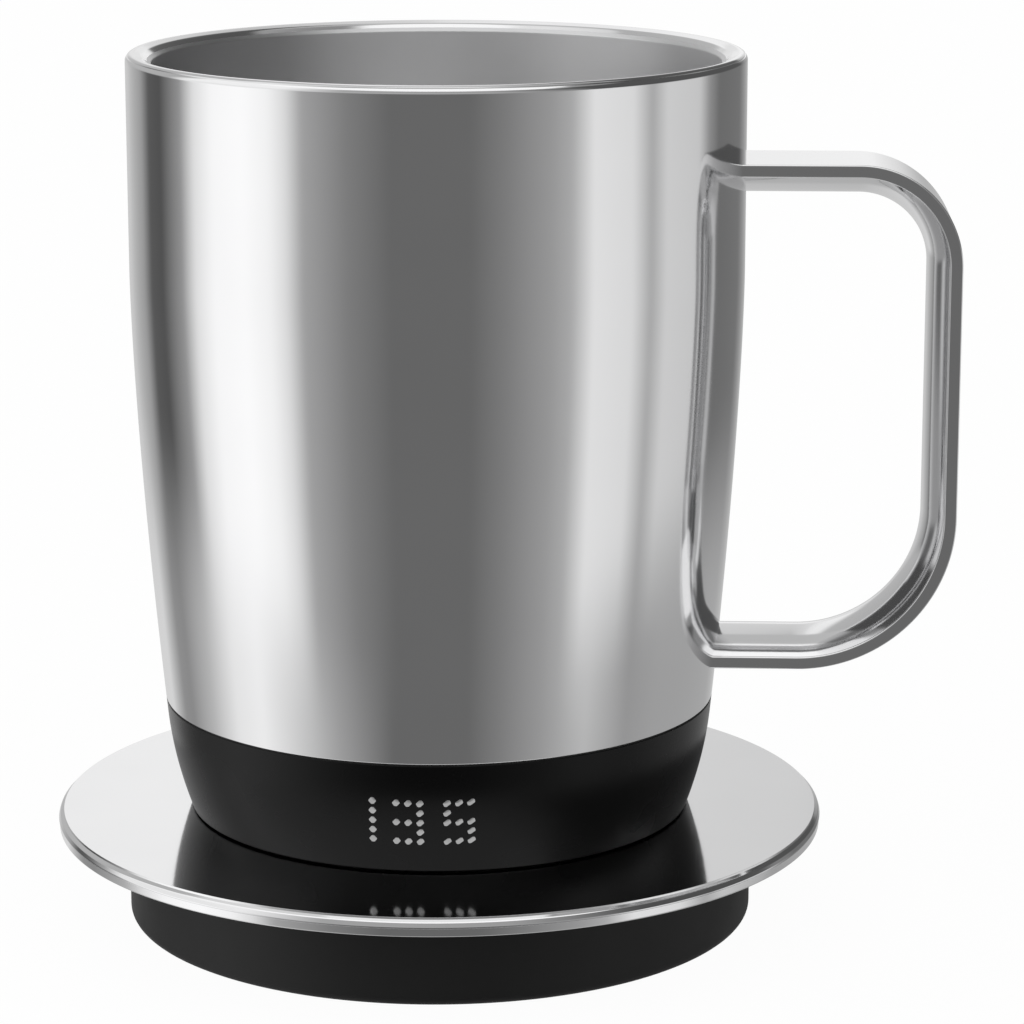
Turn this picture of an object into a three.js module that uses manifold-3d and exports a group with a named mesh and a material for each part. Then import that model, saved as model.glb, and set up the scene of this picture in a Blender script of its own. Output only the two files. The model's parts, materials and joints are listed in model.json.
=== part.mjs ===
// Self heating mug on its charging coaster, in millimetres with +Z up.
// The origin is the middle of the coaster's foot pad, on its underside.
// +X points to the handle, and -Y to the lit digits.
// Coaster heights are measured from the origin, and mug heights from the mug's foot.

import * as THREE from 'three';
import { mergeVertices } from 'three/addons/utils/BufferGeometryUtils.js';
import Module from 'manifold-3d';

const wasm = await Module();
wasm.setup();

// Facets

const wideSides = 48;
const mediumSides = 24;
const smallSides = 12;
const bendSteps = 6;
const wallSteps = 5;
const edgeSteps = 3;
const hiddenSteps = 2;
const mergeDistance = 0.0001;

// Shared clearances

const cutOverrun = 1;
const seatGap = 0.1;
const weldGap = 0.1;

// Mug body

const mugHeight = 112.7;
const rimRadius = 45;
const taperInset = 5.76;
const taperHeight = 81.1;
const taperPower = 1.52;
const tuckInset = 2.32;
const tuckHeight = 14.7;
const tuckPower = 2;
const sheetThickness = 0.8;
const lipWidth = 4.3;
const lipDrop = 1.7;
const rimRounding = 1.2;
const cupSheet = 0.6;
const cupCorner = 8;
const jointHeight = 16.95;
const shellSealThickness = 0.3;

// Mug base housing

const housingWall = 2.4;
const sleeveWall = 2.2;
const sleeveGap = 0.2;
const footReveal = 0.6;
const footThickness = 1.5;
const footInset = 1.2;
const footWidth = 2.6;
const footWall = 1.2;
const coverRecess = 1.6;
const coverThickness = 1.6;
const ledgeThickness = 1.2;
const ledgeWidth = 4;
const bossRadius = 2.8;
const bossInset = 5.2;
const coverSealInset = 0.9;
const coverSealWidth = 1.2;
const coverSealThickness = 0.7;

// Mug screws

const coverScrewCount = 3;
const coverScrewTurn = 30;
const coverHeadRadius = 1.8;
const coverHeadHeight = 0.9;
const coverShankRadius = 1;
const coverShankLength = 3.2;
const screwHoleGap = 0.15;
const driveRadius = 0.9;
const driveDepth = 0.5;
const driveSides = 6;

// Power button and its switch

const buttonRadius = 4.2;
const buttonFlangeWidth = 1;
const buttonFlangeThickness = 0.7;
const buttonRecess = 0.3;
const buttonTravel = 0.4;
const buttonClearance = 0.05;
const buttonHoleGap = 0.3;
const buttonDish = 0.3;
const switchWidth = 6;
const switchHeight = 1.5;
const actuatorRadius = 1.7;
const actuatorLength = 0.35;

// Contact rings under the mug

const innerRingRadius = 7.25;
const outerRingRadius = 10.75;
const ringWidth = 1.9;
const ringThickness = 0.7;

// Boards and battery

const boardThickness = 1.2;
const boardMargin = 0.5;
const cellRadius = 9;
const cellLength = 49.5;
const cellGap = 0.6;
const cellNubRadius = 3;
const cellNubLength = 0.8;
const cradleFloor = 1.2;
const cradleSide = 1.4;
const cradleEndInset = 2.5;
const cradleHeightShare = 0.35;
const cellHeadroom = 0.5;

// Heater stack

const sensorRadius = 2;
const sensorHoleGap = 1;
const clipRadius = 8;
const clipThickness = 0.8;
const insulationThickness = 2;
const heaterThickness = 1.2;
const heaterMargin = 1;

// Lit digits

const displayHeight = 8.35;
const dotWidth = 1.25;
const dotHeight = 1.1;
const dotFlatShare = 0.34;
const dotPitchAround = 1.69;
const dotPitchUp = 1.41;
const glyphGap = 3.6;
const dotRecess = 0.05;
const dotGap = 0.08;
const guideGap = 0.3;
const guideThickness = 1.2;
const guideMargin = 1.2;
const displayBoardGap = 0.3;
const displayBoardThickness = 1;
const displayBoardMargin = 3;
const digitPatterns = [
  ['#', '#', '#', '#', '#'],
  ['###', '..#', '###', '..#', '###'],
  ['###', '#..', '###', '..#', '###'],
];

// Handle

const handleTop = 97.35;
const handleBottom = 22.7;
const handleReach = 76.2;
const bandWidth = 16;
const bandThickness = 2;
const bandEdge = 0.3;
const upperBend = 15;
const lowerBend = 23;
const gripWidth = 15.4;
const gripBulge = 2.8;
const gripSide = 0.3;
const gripSteps = 10;

// Coaster

const coasterHeight = 17.25;
const plateRadius = 57.3;
const plateThickness = 0.8;
const plateEdge = 1.15;
const skirtDepth = 2.62;
const skirtTaper = 0.25;
const gasketThickness = 0.3;
const gasketMargin = 1;
const gasketWidth = 9;
const flangeThickness = 1.4;
const flangeGap = 0.4;
const plateOverhang = 10.47;
const baseWall = 2;
const baseFloor = 1.6;
const baseCorner = 1.2;
const padThickness = 1;
const padReveal = 0.6;
const padInset = 4.8;
const floorBossRadius = 15;
const floorBossHeight = 2;
const coasterBoardThickness = 1.6;
const coasterBoardMargin = 8.8;

// Contact block and charge pins

const blockNeckRadius = 13.7;
const blockNeckGap = 0.3;
const blockBodyRadius = 15;
const blockFlangeWidth = 3;
const blockFlangeThickness = 1.8;
const blockRecess = 0.25;
const barrelRadius = 1.5;
const barrelWall = 0.45;
const barrelLip = 1.1;
const pinRadius = 0.7;
const pinGap = 0.1;
const pinTipRounding = 0.35;
const pinShoulderWidth = 0.25;
const pinShoulderHeight = 1.6;
const pinTravel = 1.2;
const pinAir = 0.3;
const springPressedLength = 4.05;
const springWireRadius = 0.18;
const springEndGap = 0.05;
const springTurns = 6;
const springTurnSteps = 6;
const springWireSides = 4;

// Coaster screws

const coasterScrewCount = 3;
const coasterScrewTurn = 90;
const coasterScrewCircle = 11;
const coasterHeadRadius = 2.2;
const coasterHeadHeight = 1.3;
const coasterHeadGap = 0.1;
const coasterShankRadius = 1.2;
const coasterShankLength = 8.6;

// Power inlet at the rear

const inletWidth = 9;
const inletHeight = 8.6;
const inletLength = 13.8;
const inletWallGap = 0.9;
const inletNoseRadius = 3.7;
const inletNoseGap = 0.3;
const inletNoseRecess = 0.3;
const inletBoreRadius = 3;
const inletBoreDepth = 8;
const inletPinRadius = 1.05;
const inletPinRecess = 1;

// Mug heights that follow from the sizes above, from the foot upwards

const coverTop = coverRecess + coverThickness;
const ledgeTop = coverTop + ledgeThickness;
const buttonTop = coverTop + buttonFlangeThickness;
const actuatorTip = buttonTop + buttonTravel + buttonClearance;
const switchBottom = actuatorTip + actuatorLength;
const boardBottom = switchBottom + switchHeight;
const boardTop = boardBottom + boardThickness;
const cellHeight = boardTop + cradleFloor + seatGap + cellRadius;
const clipBottom = cellHeight + cellRadius + cellHeadroom;
const sleeveTop = clipBottom + clipThickness;
const insulationTop = sleeveTop + insulationThickness;
const heaterTop = insulationTop + heaterThickness;
const cupFloor = heaterTop + cupSheet;
const shoulderHeight = jointHeight - shellSealThickness;

// Mug radii that follow, from the wall inwards

const footOuter = wallRadius(footReveal) - footInset;
const footInner = footOuter - footWidth;
const coverSeat = footInner - footWall;
const coverRadius = coverSeat - seatGap;
const coverSealOuter = coverRadius - coverSealInset;
const coverSealInner = coverSealOuter - coverSealWidth;
const bossCircle = coverRadius - bossInset;
const sleeveInset = sheetThickness + sleeveGap;
const guideOuter = wallRadius(ledgeTop) - housingWall - guideGap;
const guideInner = guideOuter - guideThickness;
const digitsWidth = digitColumns().at(-1).offset * 2;
const guideHalfAngle = (digitsWidth / 2 + guideMargin) / guideInner;
const displayBoardFront = guideInner * Math.cos(guideHalfAngle) - displayBoardGap;
const displayBoardBack = displayBoardFront - displayBoardThickness;
const guideTop = displayHeight + dotPitchUp * (digitPatterns[0].length - 1) / 2 + guideMargin;

// Coaster heights and radii that follow

const plateUnderside = coasterHeight - plateThickness;
const flangeTop = plateUnderside - gasketThickness;
const flangeBottom = flangeTop - flangeThickness;
const skirtInner = plateRadius - skirtTaper - plateThickness;
const flangeRadius = skirtInner - flangeGap;
const baseRadius = plateRadius - plateOverhang;
const baseInner = baseRadius - baseWall;
const padSeat = padThickness;
const baseBottom = padReveal;
const floorTop = padSeat + baseFloor;
const coasterBoardBottom = floorTop + floorBossHeight;
const coasterBoardTop = coasterBoardBottom + coasterBoardThickness;
const padRadius = baseRadius - padInset;
const blockTop = coasterHeight - blockRecess;
const pinTop = coasterHeight + coverRecess - pinAir;
const barrelInner = barrelRadius - barrelWall;
const shoulderTop = blockTop - barrelLip - springEndGap;
const shoulderBottom = shoulderTop - pinShoulderHeight;
const springBottom = shoulderBottom - pinTravel - springPressedLength;

// The mug's outer wall is upright at the top, tapers below, and tucks in over the last stretch.
function wallRadius(height) {
  const taper = Math.max(0, 1 - height / taperHeight);
  const tuck = Math.max(0, 1 - height / tuckHeight);
  return rimRadius - taperInset * taper ** taperPower - tuckInset * tuck ** tuckPower;
}

function radians(degrees) {
  return THREE.MathUtils.degToRad(degrees);
}

function materialOf(color, roughness, metalness) {
  return new THREE.MeshStandardMaterial({ color, roughness, metalness });
}

const polishedSteel = materialOf(0xc9cacc, 0.12, 1);
const cupSteel = materialOf(0xb4b5b7, 0.3, 1);
const springSteel = materialOf(0x9a9b9d, 0.35, 1);
const gold = materialOf(0xd0a548, 0.25, 1);
const copper = materialOf(0xb4683f, 0.35, 1);
const satinBlack = materialOf(0x161617, 0.35, 0);
const mattBlack = materialOf(0x222223, 0.6, 0);
const rubber = materialOf(0x111111, 0.85, 0);
const litWhite = materialOf(0xd8d8d8, 0.4, 0);
const circuitGreen = materialOf(0x1c4a2f, 0.5, 0);
const cellWrap = materialOf(0x2d4f86, 0.45, 0);
const felt = materialOf(0x8c8a84, 0.9, 0);
const ceramicWhite = materialOf(0xd9d5cc, 0.6, 0);

// Every shape passes through here: shared corners are merged, and the faces are turned outwards.
function solidOf(geometry) {
  const bare = geometry.index ? geometry.clone() : geometry;
  bare.deleteAttribute('normal');
  bare.deleteAttribute('uv');
  const merged = mergeVertices(bare, mergeDistance);
  const positions = merged.attributes.position.array;
  const corners = [];
  let volume = 0;
  for (let i = 0; i < merged.index.count; i += 3) {
    const [a, b, c] = merged.index.array.slice(i, i + 3);
    if (a === b || b === c || c === a) continue;
    corners.push(a, b, c);
    const [pa, pb, pc] = [a, b, c].map((corner) => new THREE.Vector3().fromArray(positions, corner * 3));
    volume += pa.dot(pb.cross(pc));
  }
  if (volume < 0) corners.reverse();
  return new wasm.Manifold(new wasm.Mesh({
    numProp: 3,
    vertProperties: new Float32Array(positions),
    triVerts: new Uint32Array(corners),
  }));
}

function geometryOf(solid) {
  const mesh = solid.getMesh();
  const geometry = new THREE.BufferGeometry();
  geometry.setAttribute('position', new THREE.BufferAttribute(new Float32Array(mesh.vertProperties), 3));
  geometry.setIndex(new THREE.BufferAttribute(new Uint32Array(mesh.triVerts), 1));
  geometry.computeVertexNormals();
  return geometry;
}

function piece(parent, name, solid, material) {
  const mesh = new THREE.Mesh(geometryOf(solid), material);
  mesh.name = name;
  parent.add(mesh);
}

// A ring, or a solid of revolution where the outline starts and ends on the axis.
function revolve(outline, sides = wideSides) {
  const points = outline.map(([radius, height]) => new THREE.Vector2(radius, height));
  points.push(points[0].clone());
  const geometry = new THREE.LatheGeometry(points, sides);
  geometry.rotateX(Math.PI / 2);
  return solidOf(geometry);
}

function ring(inner, outer, bottom, top, sides = wideSides) {
  return revolve([[inner, bottom], [outer, bottom], [outer, top], [inner, top]], sides);
}

function disc(radius, bottom, top, sides = wideSides) {
  return ring(0, radius, bottom, top, sides);
}

function block(width, depth, bottom, top, x = 0, y = 0) {
  const geometry = new THREE.BoxGeometry(width, depth, top - bottom);
  geometry.translate(x, y, (top + bottom) / 2);
  return solidOf(geometry);
}

function arc(centreRadius, centreHeight, radius, fromDegrees, toDegrees, steps = edgeSteps) {
  return Array.from({ length: steps + 1 }, (unused, i) => {
    const angle = radians(fromDegrees + (toDegrees - fromDegrees) * i / steps);
    return [centreRadius + radius * Math.cos(angle), centreHeight + radius * Math.sin(angle)];
  });
}

// Points down or up the mug's wall, moved inwards by an inset.
function wallPoints(from, to, inset, steps = wallSteps) {
  return Array.from({ length: steps + 1 }, (unused, i) => {
    const height = from + (to - from) * i / steps;
    return [wallRadius(height) - inset, height];
  });
}

// Everything inside the mug's wall, grown by an offset, for cutting what meets the wall.
function wallEnvelope(offset) {
  return revolve([
    [0, -cutOverrun],
    [wallRadius(0) + offset, -cutOverrun],
    ...wallPoints(0, taperHeight, -offset, 2 * wallSteps),
    [rimRadius + offset, mugHeight + cutOverrun],
    [0, mugHeight + cutOverrun],
  ]);
}

function joined(solids) {
  return solids.reduce((sum, solid) => sum.add(solid));
}

function onCircle(count, radius, firstDegrees) {
  return Array.from({ length: count }, (unused, i) => {
    const angle = radians(firstDegrees + 360 * i / count);
    return [radius * Math.cos(angle), radius * Math.sin(angle)];
  });
}

// A screw with its head below and its shank upwards, head underside at the given height.
function screw(headRadius, headHeight, shankRadius, shankLength, headTop) {
  const drive = ring(0, driveRadius, headTop - headHeight - cutOverrun,
    headTop - headHeight + driveDepth, driveSides);
  return disc(headRadius, headTop - headHeight, headTop, smallSides)
    .add(disc(shankRadius, headTop - cutOverrun / 2, headTop + shankLength, smallSides))
    .subtract(drive);
}

// The outer shell is one bent sheet: the wall, the rounded rim, and the lip that slopes into the cup.
function outerShell() {
  const lipInner = rimRadius - lipWidth + cupSheet + weldGap;
  const crest = rimRadius - rimRounding;
  const innerRounding = rimRounding / 2;
  return revolve([
    ...wallPoints(jointHeight, taperHeight, 0),
    ...arc(crest, mugHeight - rimRounding, rimRounding, 0, 90),
    [lipInner, mugHeight - lipDrop],
    [lipInner, mugHeight - lipDrop - sheetThickness],
    ...arc(crest - sheetThickness + rimRounding - innerRounding, mugHeight - sheetThickness - innerRounding,
      innerRounding, 90, 0, 1),
    ...wallPoints(taperHeight, jointHeight, sheetThickness, edgeSteps),
  ]);
}

// The inner cup follows the outer wall at a constant distance, with a rounded floor.
function innerCup() {
  const top = mugHeight - lipDrop;
  const cornerTop = cupFloor + cupCorner;
  const inner = (height) => wallRadius(height) - lipWidth;
  const innerAtCorner = inner(cornerTop);
  return revolve([
    [0, heaterTop],
    ...arc(innerAtCorner - cupCorner, cornerTop, cupCorner + cupSheet, -90, 0),
    ...wallPoints(cornerTop, taperHeight, lipWidth - cupSheet, edgeSteps).slice(1),
    [rimRadius - lipWidth + cupSheet, top],
    [rimRadius - lipWidth, top],
    ...wallPoints(taperHeight, cornerTop, lipWidth, edgeSteps).slice(0, -1),
    ...arc(innerAtCorner - cupCorner, cornerTop, cupCorner, 0, -90),
    [0, cupFloor],
  ]);
}

// Sweeps a section along the handle's D. A section point is a place across the handle and a depth
// below its outer face.
function handleSweep(section) {
  const start = rimRadius - bandWidth / 2;
  const stations = [{ x: start, z: handleTop, angle: 90 }];
  const bend = (centreX, centreZ, radius, from) => {
    for (let i = 0; i <= bendSteps; i += 1) {
      const angle = from - 90 * i / bendSteps;
      stations.push({
        x: centreX + radius * Math.cos(radians(angle)),
        z: centreZ + radius * Math.sin(radians(angle)),
        angle,
      });
    }
  };
  bend(handleReach - upperBend, handleTop - upperBend, upperBend, 90);
  bend(handleReach - lowerBend, handleBottom + lowerBend, lowerBend, 0);
  stations.push({ x: start, z: handleBottom, angle: -90 });

  const positions = [];
  for (const { x, z, angle } of stations) {
    for (const [across, depth] of section) {
      positions.push(x - depth * Math.cos(radians(angle)), across, z - depth * Math.sin(radians(angle)));
    }
  }
  const corners = [];
  const count = section.length;
  for (let i = 0; i + 1 < stations.length; i += 1) {
    for (let j = 0; j < count; j += 1) {
      const k = (j + 1) % count;
      corners.push(i * count + j, i * count + k, (i + 1) * count + j);
      corners.push(i * count + k, (i + 1) * count + k, (i + 1) * count + j);
    }
  }
  const last = (stations.length - 1) * count;
  for (let j = 1; j + 1 < count; j += 1) {
    corners.push(0, j + 1, j);
    corners.push(last, last + j, last + j + 1);
  }
  const geometry = new THREE.BufferGeometry();
  geometry.setAttribute('position', new THREE.BufferAttribute(new Float32Array(positions), 3));
  geometry.setIndex(corners);
  return solidOf(geometry).subtract(wallEnvelope(weldGap));
}

function handleOuterBand() {
  const half = bandWidth / 2;
  const flat = half - bandEdge;
  return handleSweep([
    [-flat, 0],
    [flat, 0],
    [half, bandEdge],
    [half, bandThickness - bandEdge],
    [flat, bandThickness],
    [-flat, bandThickness],
    [-half, bandThickness - bandEdge],
    [-half, bandEdge],
  ]);
}

function handleInnerGrip() {
  const seat = bandThickness + weldGap;
  const half = gripWidth / 2;
  const crown = Array.from({ length: gripSteps + 1 }, (unused, i) => {
    const angle = Math.PI * i / gripSteps;
    return [half * Math.cos(angle), seat + gripSide + (gripBulge - gripSide) * Math.sin(angle)];
  });
  return handleSweep([[-half, seat], [half, seat], ...crown]);
}

// Columns of dots from left to right, each with its offset round the wall from the middle.
function digitColumns() {
  const columns = [];
  let offset = 0;
  for (const pattern of digitPatterns) {
    const width = pattern[0].length;
    for (let column = 0; column < width; column += 1) {
      columns.push({ offset, rows: pattern.map((row) => row[column] === '#') });
      offset += column + 1 < width ? dotPitchAround : glyphGap;
    }
  }
  const middle = columns.at(-1).offset / 2;
  return columns.map((column) => ({ ...column, offset: column.offset - middle }));
}

// One lozenge for each lit dot, from inside the light guide out past the wall.
function dotPrisms(grow) {
  const halfWidth = dotWidth / 2 + grow;
  const halfHeight = dotHeight / 2 + grow;
  const flat = dotWidth * dotFlatShare / 2 + grow / 2;
  const outline = [[halfWidth, 0], [flat, halfHeight], [-flat, halfHeight],
    [-halfWidth, 0], [-flat, -halfHeight], [flat, -halfHeight]];
  const shape = new THREE.Shape(outline.map(([x, y]) => new THREE.Vector2(x, y)));
  const inside = (guideInner + guideOuter) / 2;
  const prisms = [];
  for (const { offset, rows } of digitColumns()) {
    rows.forEach((lit, row) => {
      if (!lit) return;
      const geometry = new THREE.ExtrudeGeometry(shape, { depth: rimRadius - inside, bevelEnabled: false });
      geometry.translate(0, 0, inside);
      geometry.rotateX(Math.PI / 2);
      geometry.rotateZ(offset / wallRadius(displayHeight));
      geometry.translate(0, 0, displayHeight + dotPitchUp * ((rows.length - 1) / 2 - row));
      prisms.push(solidOf(geometry));
    });
  }
  return joined(prisms);
}

// The housing carries everything below the cup. Its sleeve stands inside the steel shell.
function baseHousing() {
  const wall = revolve([
    [coverSeat, footReveal],
    [footInner - seatGap, footReveal],
    [footInner - seatGap, footThickness],
    [footOuter + seatGap, footThickness],
    [footOuter + seatGap, footReveal],
    ...wallPoints(footReveal, shoulderHeight, 0),
    ...wallPoints(shoulderHeight, sleeveTop, sleeveInset, hiddenSteps),
    ...wallPoints(sleeveTop, jointHeight, sleeveInset + sleeveWall, hiddenSteps),
    ...wallPoints(jointHeight - housingWall, ledgeTop, housingWall, hiddenSteps),
    [coverRadius - ledgeWidth, ledgeTop],
    [coverRadius - ledgeWidth, coverTop],
    [coverSeat, coverTop],
  ]);
  const places = onCircle(coverScrewCount, bossCircle, coverScrewTurn);
  const bosses = places.map(([x, y]) => (
    disc(bossRadius, coverTop, boardBottom, smallSides).translate([x, y, 0])));
  const holeTop = coverHeadTop() + coverShankLength + seatGap;
  const holes = places.map(([x, y]) => (
    disc(coverShankRadius + screwHoleGap, coverTop - cutOverrun, holeTop, smallSides).translate([x, y, 0])));
  return joined([wall, ...bosses])
    .subtract(joined(holes))
    .subtract(dotPrisms(dotGap));
}

function coverHeadTop() {
  return coverRecess + coverHeadHeight + seatGap;
}

function coverScrews() {
  const places = onCircle(coverScrewCount, bossCircle, coverScrewTurn);
  return places.map(([x, y]) => (
    screw(coverHeadRadius, coverHeadHeight, coverShankRadius, coverShankLength, coverHeadTop())
      .translate([x, y, 0])));
}

function bottomCover() {
  const below = coverRecess - cutOverrun;
  const ringSeat = (radius) => ring(radius - ringWidth / 2 - seatGap, radius + ringWidth / 2 + seatGap,
    below, coverRecess + ringThickness, mediumSides);
  const sealSeat = ring(coverSealInner - seatGap, coverSealOuter + seatGap,
    coverTop - coverSealThickness, coverTop + cutOverrun);
  const heads = onCircle(coverScrewCount, bossCircle, coverScrewTurn).map(([x, y]) => (
    disc(coverHeadRadius + screwHoleGap, below, coverHeadTop(), smallSides)
      .add(disc(coverShankRadius + screwHoleGap, below, coverTop + cutOverrun, smallSides))
      .translate([x, y, 0])));
  return ring(buttonRadius + buttonHoleGap, coverRadius, coverRecess, coverTop)
    .subtract(joined([ringSeat(innerRingRadius), ringSeat(outerRingRadius), sealSeat, ...heads]));
}

function contactRing(radius) {
  return ring(radius - ringWidth / 2, radius + ringWidth / 2, coverRecess, coverRecess + ringThickness,
    mediumSides);
}

// The button hangs in the cover's hole on its flange, with a shallow finger dish underneath.
function powerButton() {
  const bottom = coverRecess + buttonRecess;
  return revolve([
    [0, bottom + buttonDish],
    [buttonRadius / 2, bottom + buttonDish / 2],
    [buttonRadius - buttonDish, bottom],
    [buttonRadius, bottom + buttonDish],
    [buttonRadius, coverTop],
    [buttonRadius + buttonFlangeWidth, coverTop],
    [buttonRadius + buttonFlangeWidth, buttonTop],
    [0, buttonTop],
  ], mediumSides);
}

function tactSwitch() {
  return block(switchWidth, switchWidth, switchBottom, boardBottom)
    .add(disc(actuatorRadius, actuatorTip, switchBottom + switchHeight / 2, smallSides));
}

function lightGuide() {
  const shape = new THREE.Shape();
  const from = -Math.PI / 2 - guideHalfAngle;
  const to = -Math.PI / 2 + guideHalfAngle;
  shape.absarc(0, 0, guideOuter, from, to, false);
  shape.absarc(0, 0, guideInner, to, from, true);
  const geometry = new THREE.ExtrudeGeometry(shape, {
    depth: guideTop - ledgeTop,
    bevelEnabled: false,
    curveSegments: bendSteps,
  });
  geometry.translate(0, 0, ledgeTop);
  return solidOf(geometry).add(dotPrisms(0)).intersect(wallEnvelope(-dotRecess));
}

function displayBoard() {
  const width = digitsWidth + 2 * displayBoardMargin;
  const middle = -(displayBoardFront + displayBoardBack) / 2;
  return block(width, displayBoardThickness, ledgeTop, guideTop, 0, middle);
}

function mainBoard() {
  return disc(displayBoardBack - boardMargin, boardBottom, boardTop);
}

function batteryCell() {
  const half = cellLength / 2;
  return revolve([
    [0, -half],
    [cellRadius, -half],
    [cellRadius, half - cellNubLength],
    [cellNubRadius, half - cellNubLength],
    [cellNubRadius, half],
    [0, half],
  ], mediumSides).rotate([0, 90, 0]);
}

function cellOffset() {
  return cellRadius + cellGap / 2;
}

function batteryCradle() {
  const width = cellLength - 2 * cradleEndInset;
  const depth = 2 * (cellOffset() + cellRadius + cradleSide);
  const channels = [-1, 1].map((side) => disc(cellRadius + seatGap, -cellLength, cellLength, mediumSides)
    .rotate([0, 90, 0])
    .translate([0, side * cellOffset(), cellHeight]));
  const top = cellHeight - cellRadius + 2 * cellRadius * cradleHeightShare;
  return block(width, depth, boardTop, top).subtract(joined(channels));
}

function heaterRadius() {
  return wallRadius(cupFloor) - lipWidth - cupCorner - heaterMargin;
}

// Mug

const mug = new THREE.Group();
mug.position.z = coasterHeight;

piece(mug, 'outer_shell', outerShell(), polishedSteel);
piece(mug, 'inner_cup', innerCup(), cupSteel);
piece(mug, 'handle_outer_band', handleOuterBand(), polishedSteel);
piece(mug, 'handle_inner_grip', handleInnerGrip(), polishedSteel);
piece(mug, 'base_housing', baseHousing(), satinBlack);
piece(mug, 'shell_seal', ring(
  wallRadius(jointHeight) - sheetThickness,
  wallRadius(shoulderHeight) - seatGap / 2,
  shoulderHeight, jointHeight), rubber);
piece(mug, 'display_light_guide', lightGuide(), litWhite);
piece(mug, 'display_board', displayBoard(), circuitGreen);
piece(mug, 'main_board', mainBoard(), circuitGreen);
piece(mug, 'tact_switch', tactSwitch(), mattBlack);
piece(mug, 'battery_cradle', batteryCradle(), mattBlack);
for (const [name, side] of [['battery_cell_front', -1], ['battery_cell_rear', 1]]) {
  piece(mug, name, batteryCell().translate([0, side * cellOffset(), cellHeight]), cellWrap);
}
piece(mug, 'sensor_clip', disc(clipRadius, clipBottom, sleeveTop, mediumSides), springSteel);
piece(mug, 'insulation_disc', ring(sensorRadius + sensorHoleGap, wallRadius(sleeveTop) - sleeveInset,
  sleeveTop, insulationTop), felt);
piece(mug, 'heater_disc', ring(sensorRadius + sensorHoleGap, heaterRadius(), insulationTop, heaterTop,
  mediumSides), ceramicWhite);
piece(mug, 'temperature_sensor', disc(sensorRadius, sleeveTop, heaterTop, smallSides), copper);
piece(mug, 'bottom_cover', bottomCover(), satinBlack);
piece(mug, 'bottom_seal', ring(coverSealInner, coverSealOuter, coverTop - coverSealThickness, coverTop),
  rubber);
piece(mug, 'contact_ring_inner', contactRing(innerRingRadius), gold);
piece(mug, 'contact_ring_outer', contactRing(outerRingRadius), gold);
piece(mug, 'foot_ring', ring(footInner, footOuter, 0, footThickness), rubber);
coverScrews().forEach((solid, i) => piece(mug, `cover_screw_${i + 1}`, solid, springSteel));
piece(mug, 'power_button', powerButton(), mattBlack);

// The plate is a pressed sheet: a flat top, a rounded edge, and a short skirt all round.
function topPlate() {
  const hole = blockNeckRadius + blockNeckGap;
  const skirtBottom = coasterHeight - skirtDepth;
  return revolve([
    [hole, coasterHeight],
    ...arc(plateRadius - plateEdge, coasterHeight - plateEdge, plateEdge, 90, 0),
    [plateRadius - skirtTaper, skirtBottom],
    [skirtInner, skirtBottom],
    [skirtInner, plateUnderside],
    [hole, plateUnderside],
  ]);
}

function coasterBase() {
  const inletHeightMiddle = coasterBoardTop + inletHeight / 2;
  const shell = revolve([
    [0, padSeat],
    [padRadius + seatGap, padSeat],
    [padRadius + seatGap, baseBottom],
    ...arc(baseRadius - baseCorner, baseBottom + baseCorner, baseCorner, -90, 0),
    [baseRadius, flangeBottom],
    [flangeRadius, flangeBottom],
    [flangeRadius, flangeTop],
    [baseInner, flangeTop],
    [baseInner, floorTop],
    [floorBossRadius, floorTop],
    [floorBossRadius, coasterBoardBottom],
    [0, coasterBoardBottom],
  ]);
  const screwHoles = coasterScrewPlaces().map(([x, y]) => (
    disc(coasterHeadRadius + screwHoleGap, padSeat - cutOverrun, coasterHeadTop(), smallSides)
      .add(disc(coasterShankRadius + screwHoleGap, padSeat, coasterBoardBottom + cutOverrun, smallSides))
      .translate([x, y, 0])));
  const inletHole = disc(inletNoseRadius + inletNoseGap, baseInner - 2 * cutOverrun,
    baseRadius + cutOverrun, mediumSides)
    .rotate([-90, 0, 0])
    .translate([0, 0, inletHeightMiddle]);
  return shell.subtract(joined([...screwHoles, inletHole]));
}

function coasterScrewPlaces() {
  return onCircle(coasterScrewCount, coasterScrewCircle, coasterScrewTurn);
}

function coasterHeadTop() {
  return padSeat + coasterHeadHeight + coasterHeadGap;
}

function coasterBoard() {
  const holes = coasterScrewPlaces().map(([x, y]) => (
    disc(coasterShankRadius + screwHoleGap, coasterBoardBottom - cutOverrun, coasterBoardTop + cutOverrun,
      smallSides).translate([x, y, 0])));
  return disc(baseInner - coasterBoardMargin, coasterBoardBottom, coasterBoardTop).subtract(joined(holes));
}

// The block stands on the board, holds the pins, and fills the plate's middle hole.
function contactBlock() {
  const body = revolve([
    [0, coasterBoardTop],
    [blockBodyRadius, coasterBoardTop],
    [blockBodyRadius, plateUnderside - blockFlangeThickness],
    [blockBodyRadius + blockFlangeWidth, plateUnderside - blockFlangeThickness],
    [blockBodyRadius + blockFlangeWidth, plateUnderside],
    [blockNeckRadius, plateUnderside],
    [blockNeckRadius, blockTop],
    [0, blockTop],
  ]);
  const pinBores = [innerRingRadius, -outerRingRadius].map((x) => (
    disc(barrelRadius + seatGap, coasterBoardTop - cutOverrun, blockTop + cutOverrun, smallSides)
      .translate([x, 0, 0])));
  const holeTop = coasterHeadTop() + coasterShankLength + seatGap;
  const screwBores = coasterScrewPlaces().map(([x, y]) => (
    disc(coasterShankRadius + screwHoleGap, coasterBoardTop - cutOverrun, holeTop, smallSides)
      .translate([x, y, 0])));
  return body.subtract(joined([...pinBores, ...screwBores]));
}

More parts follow.
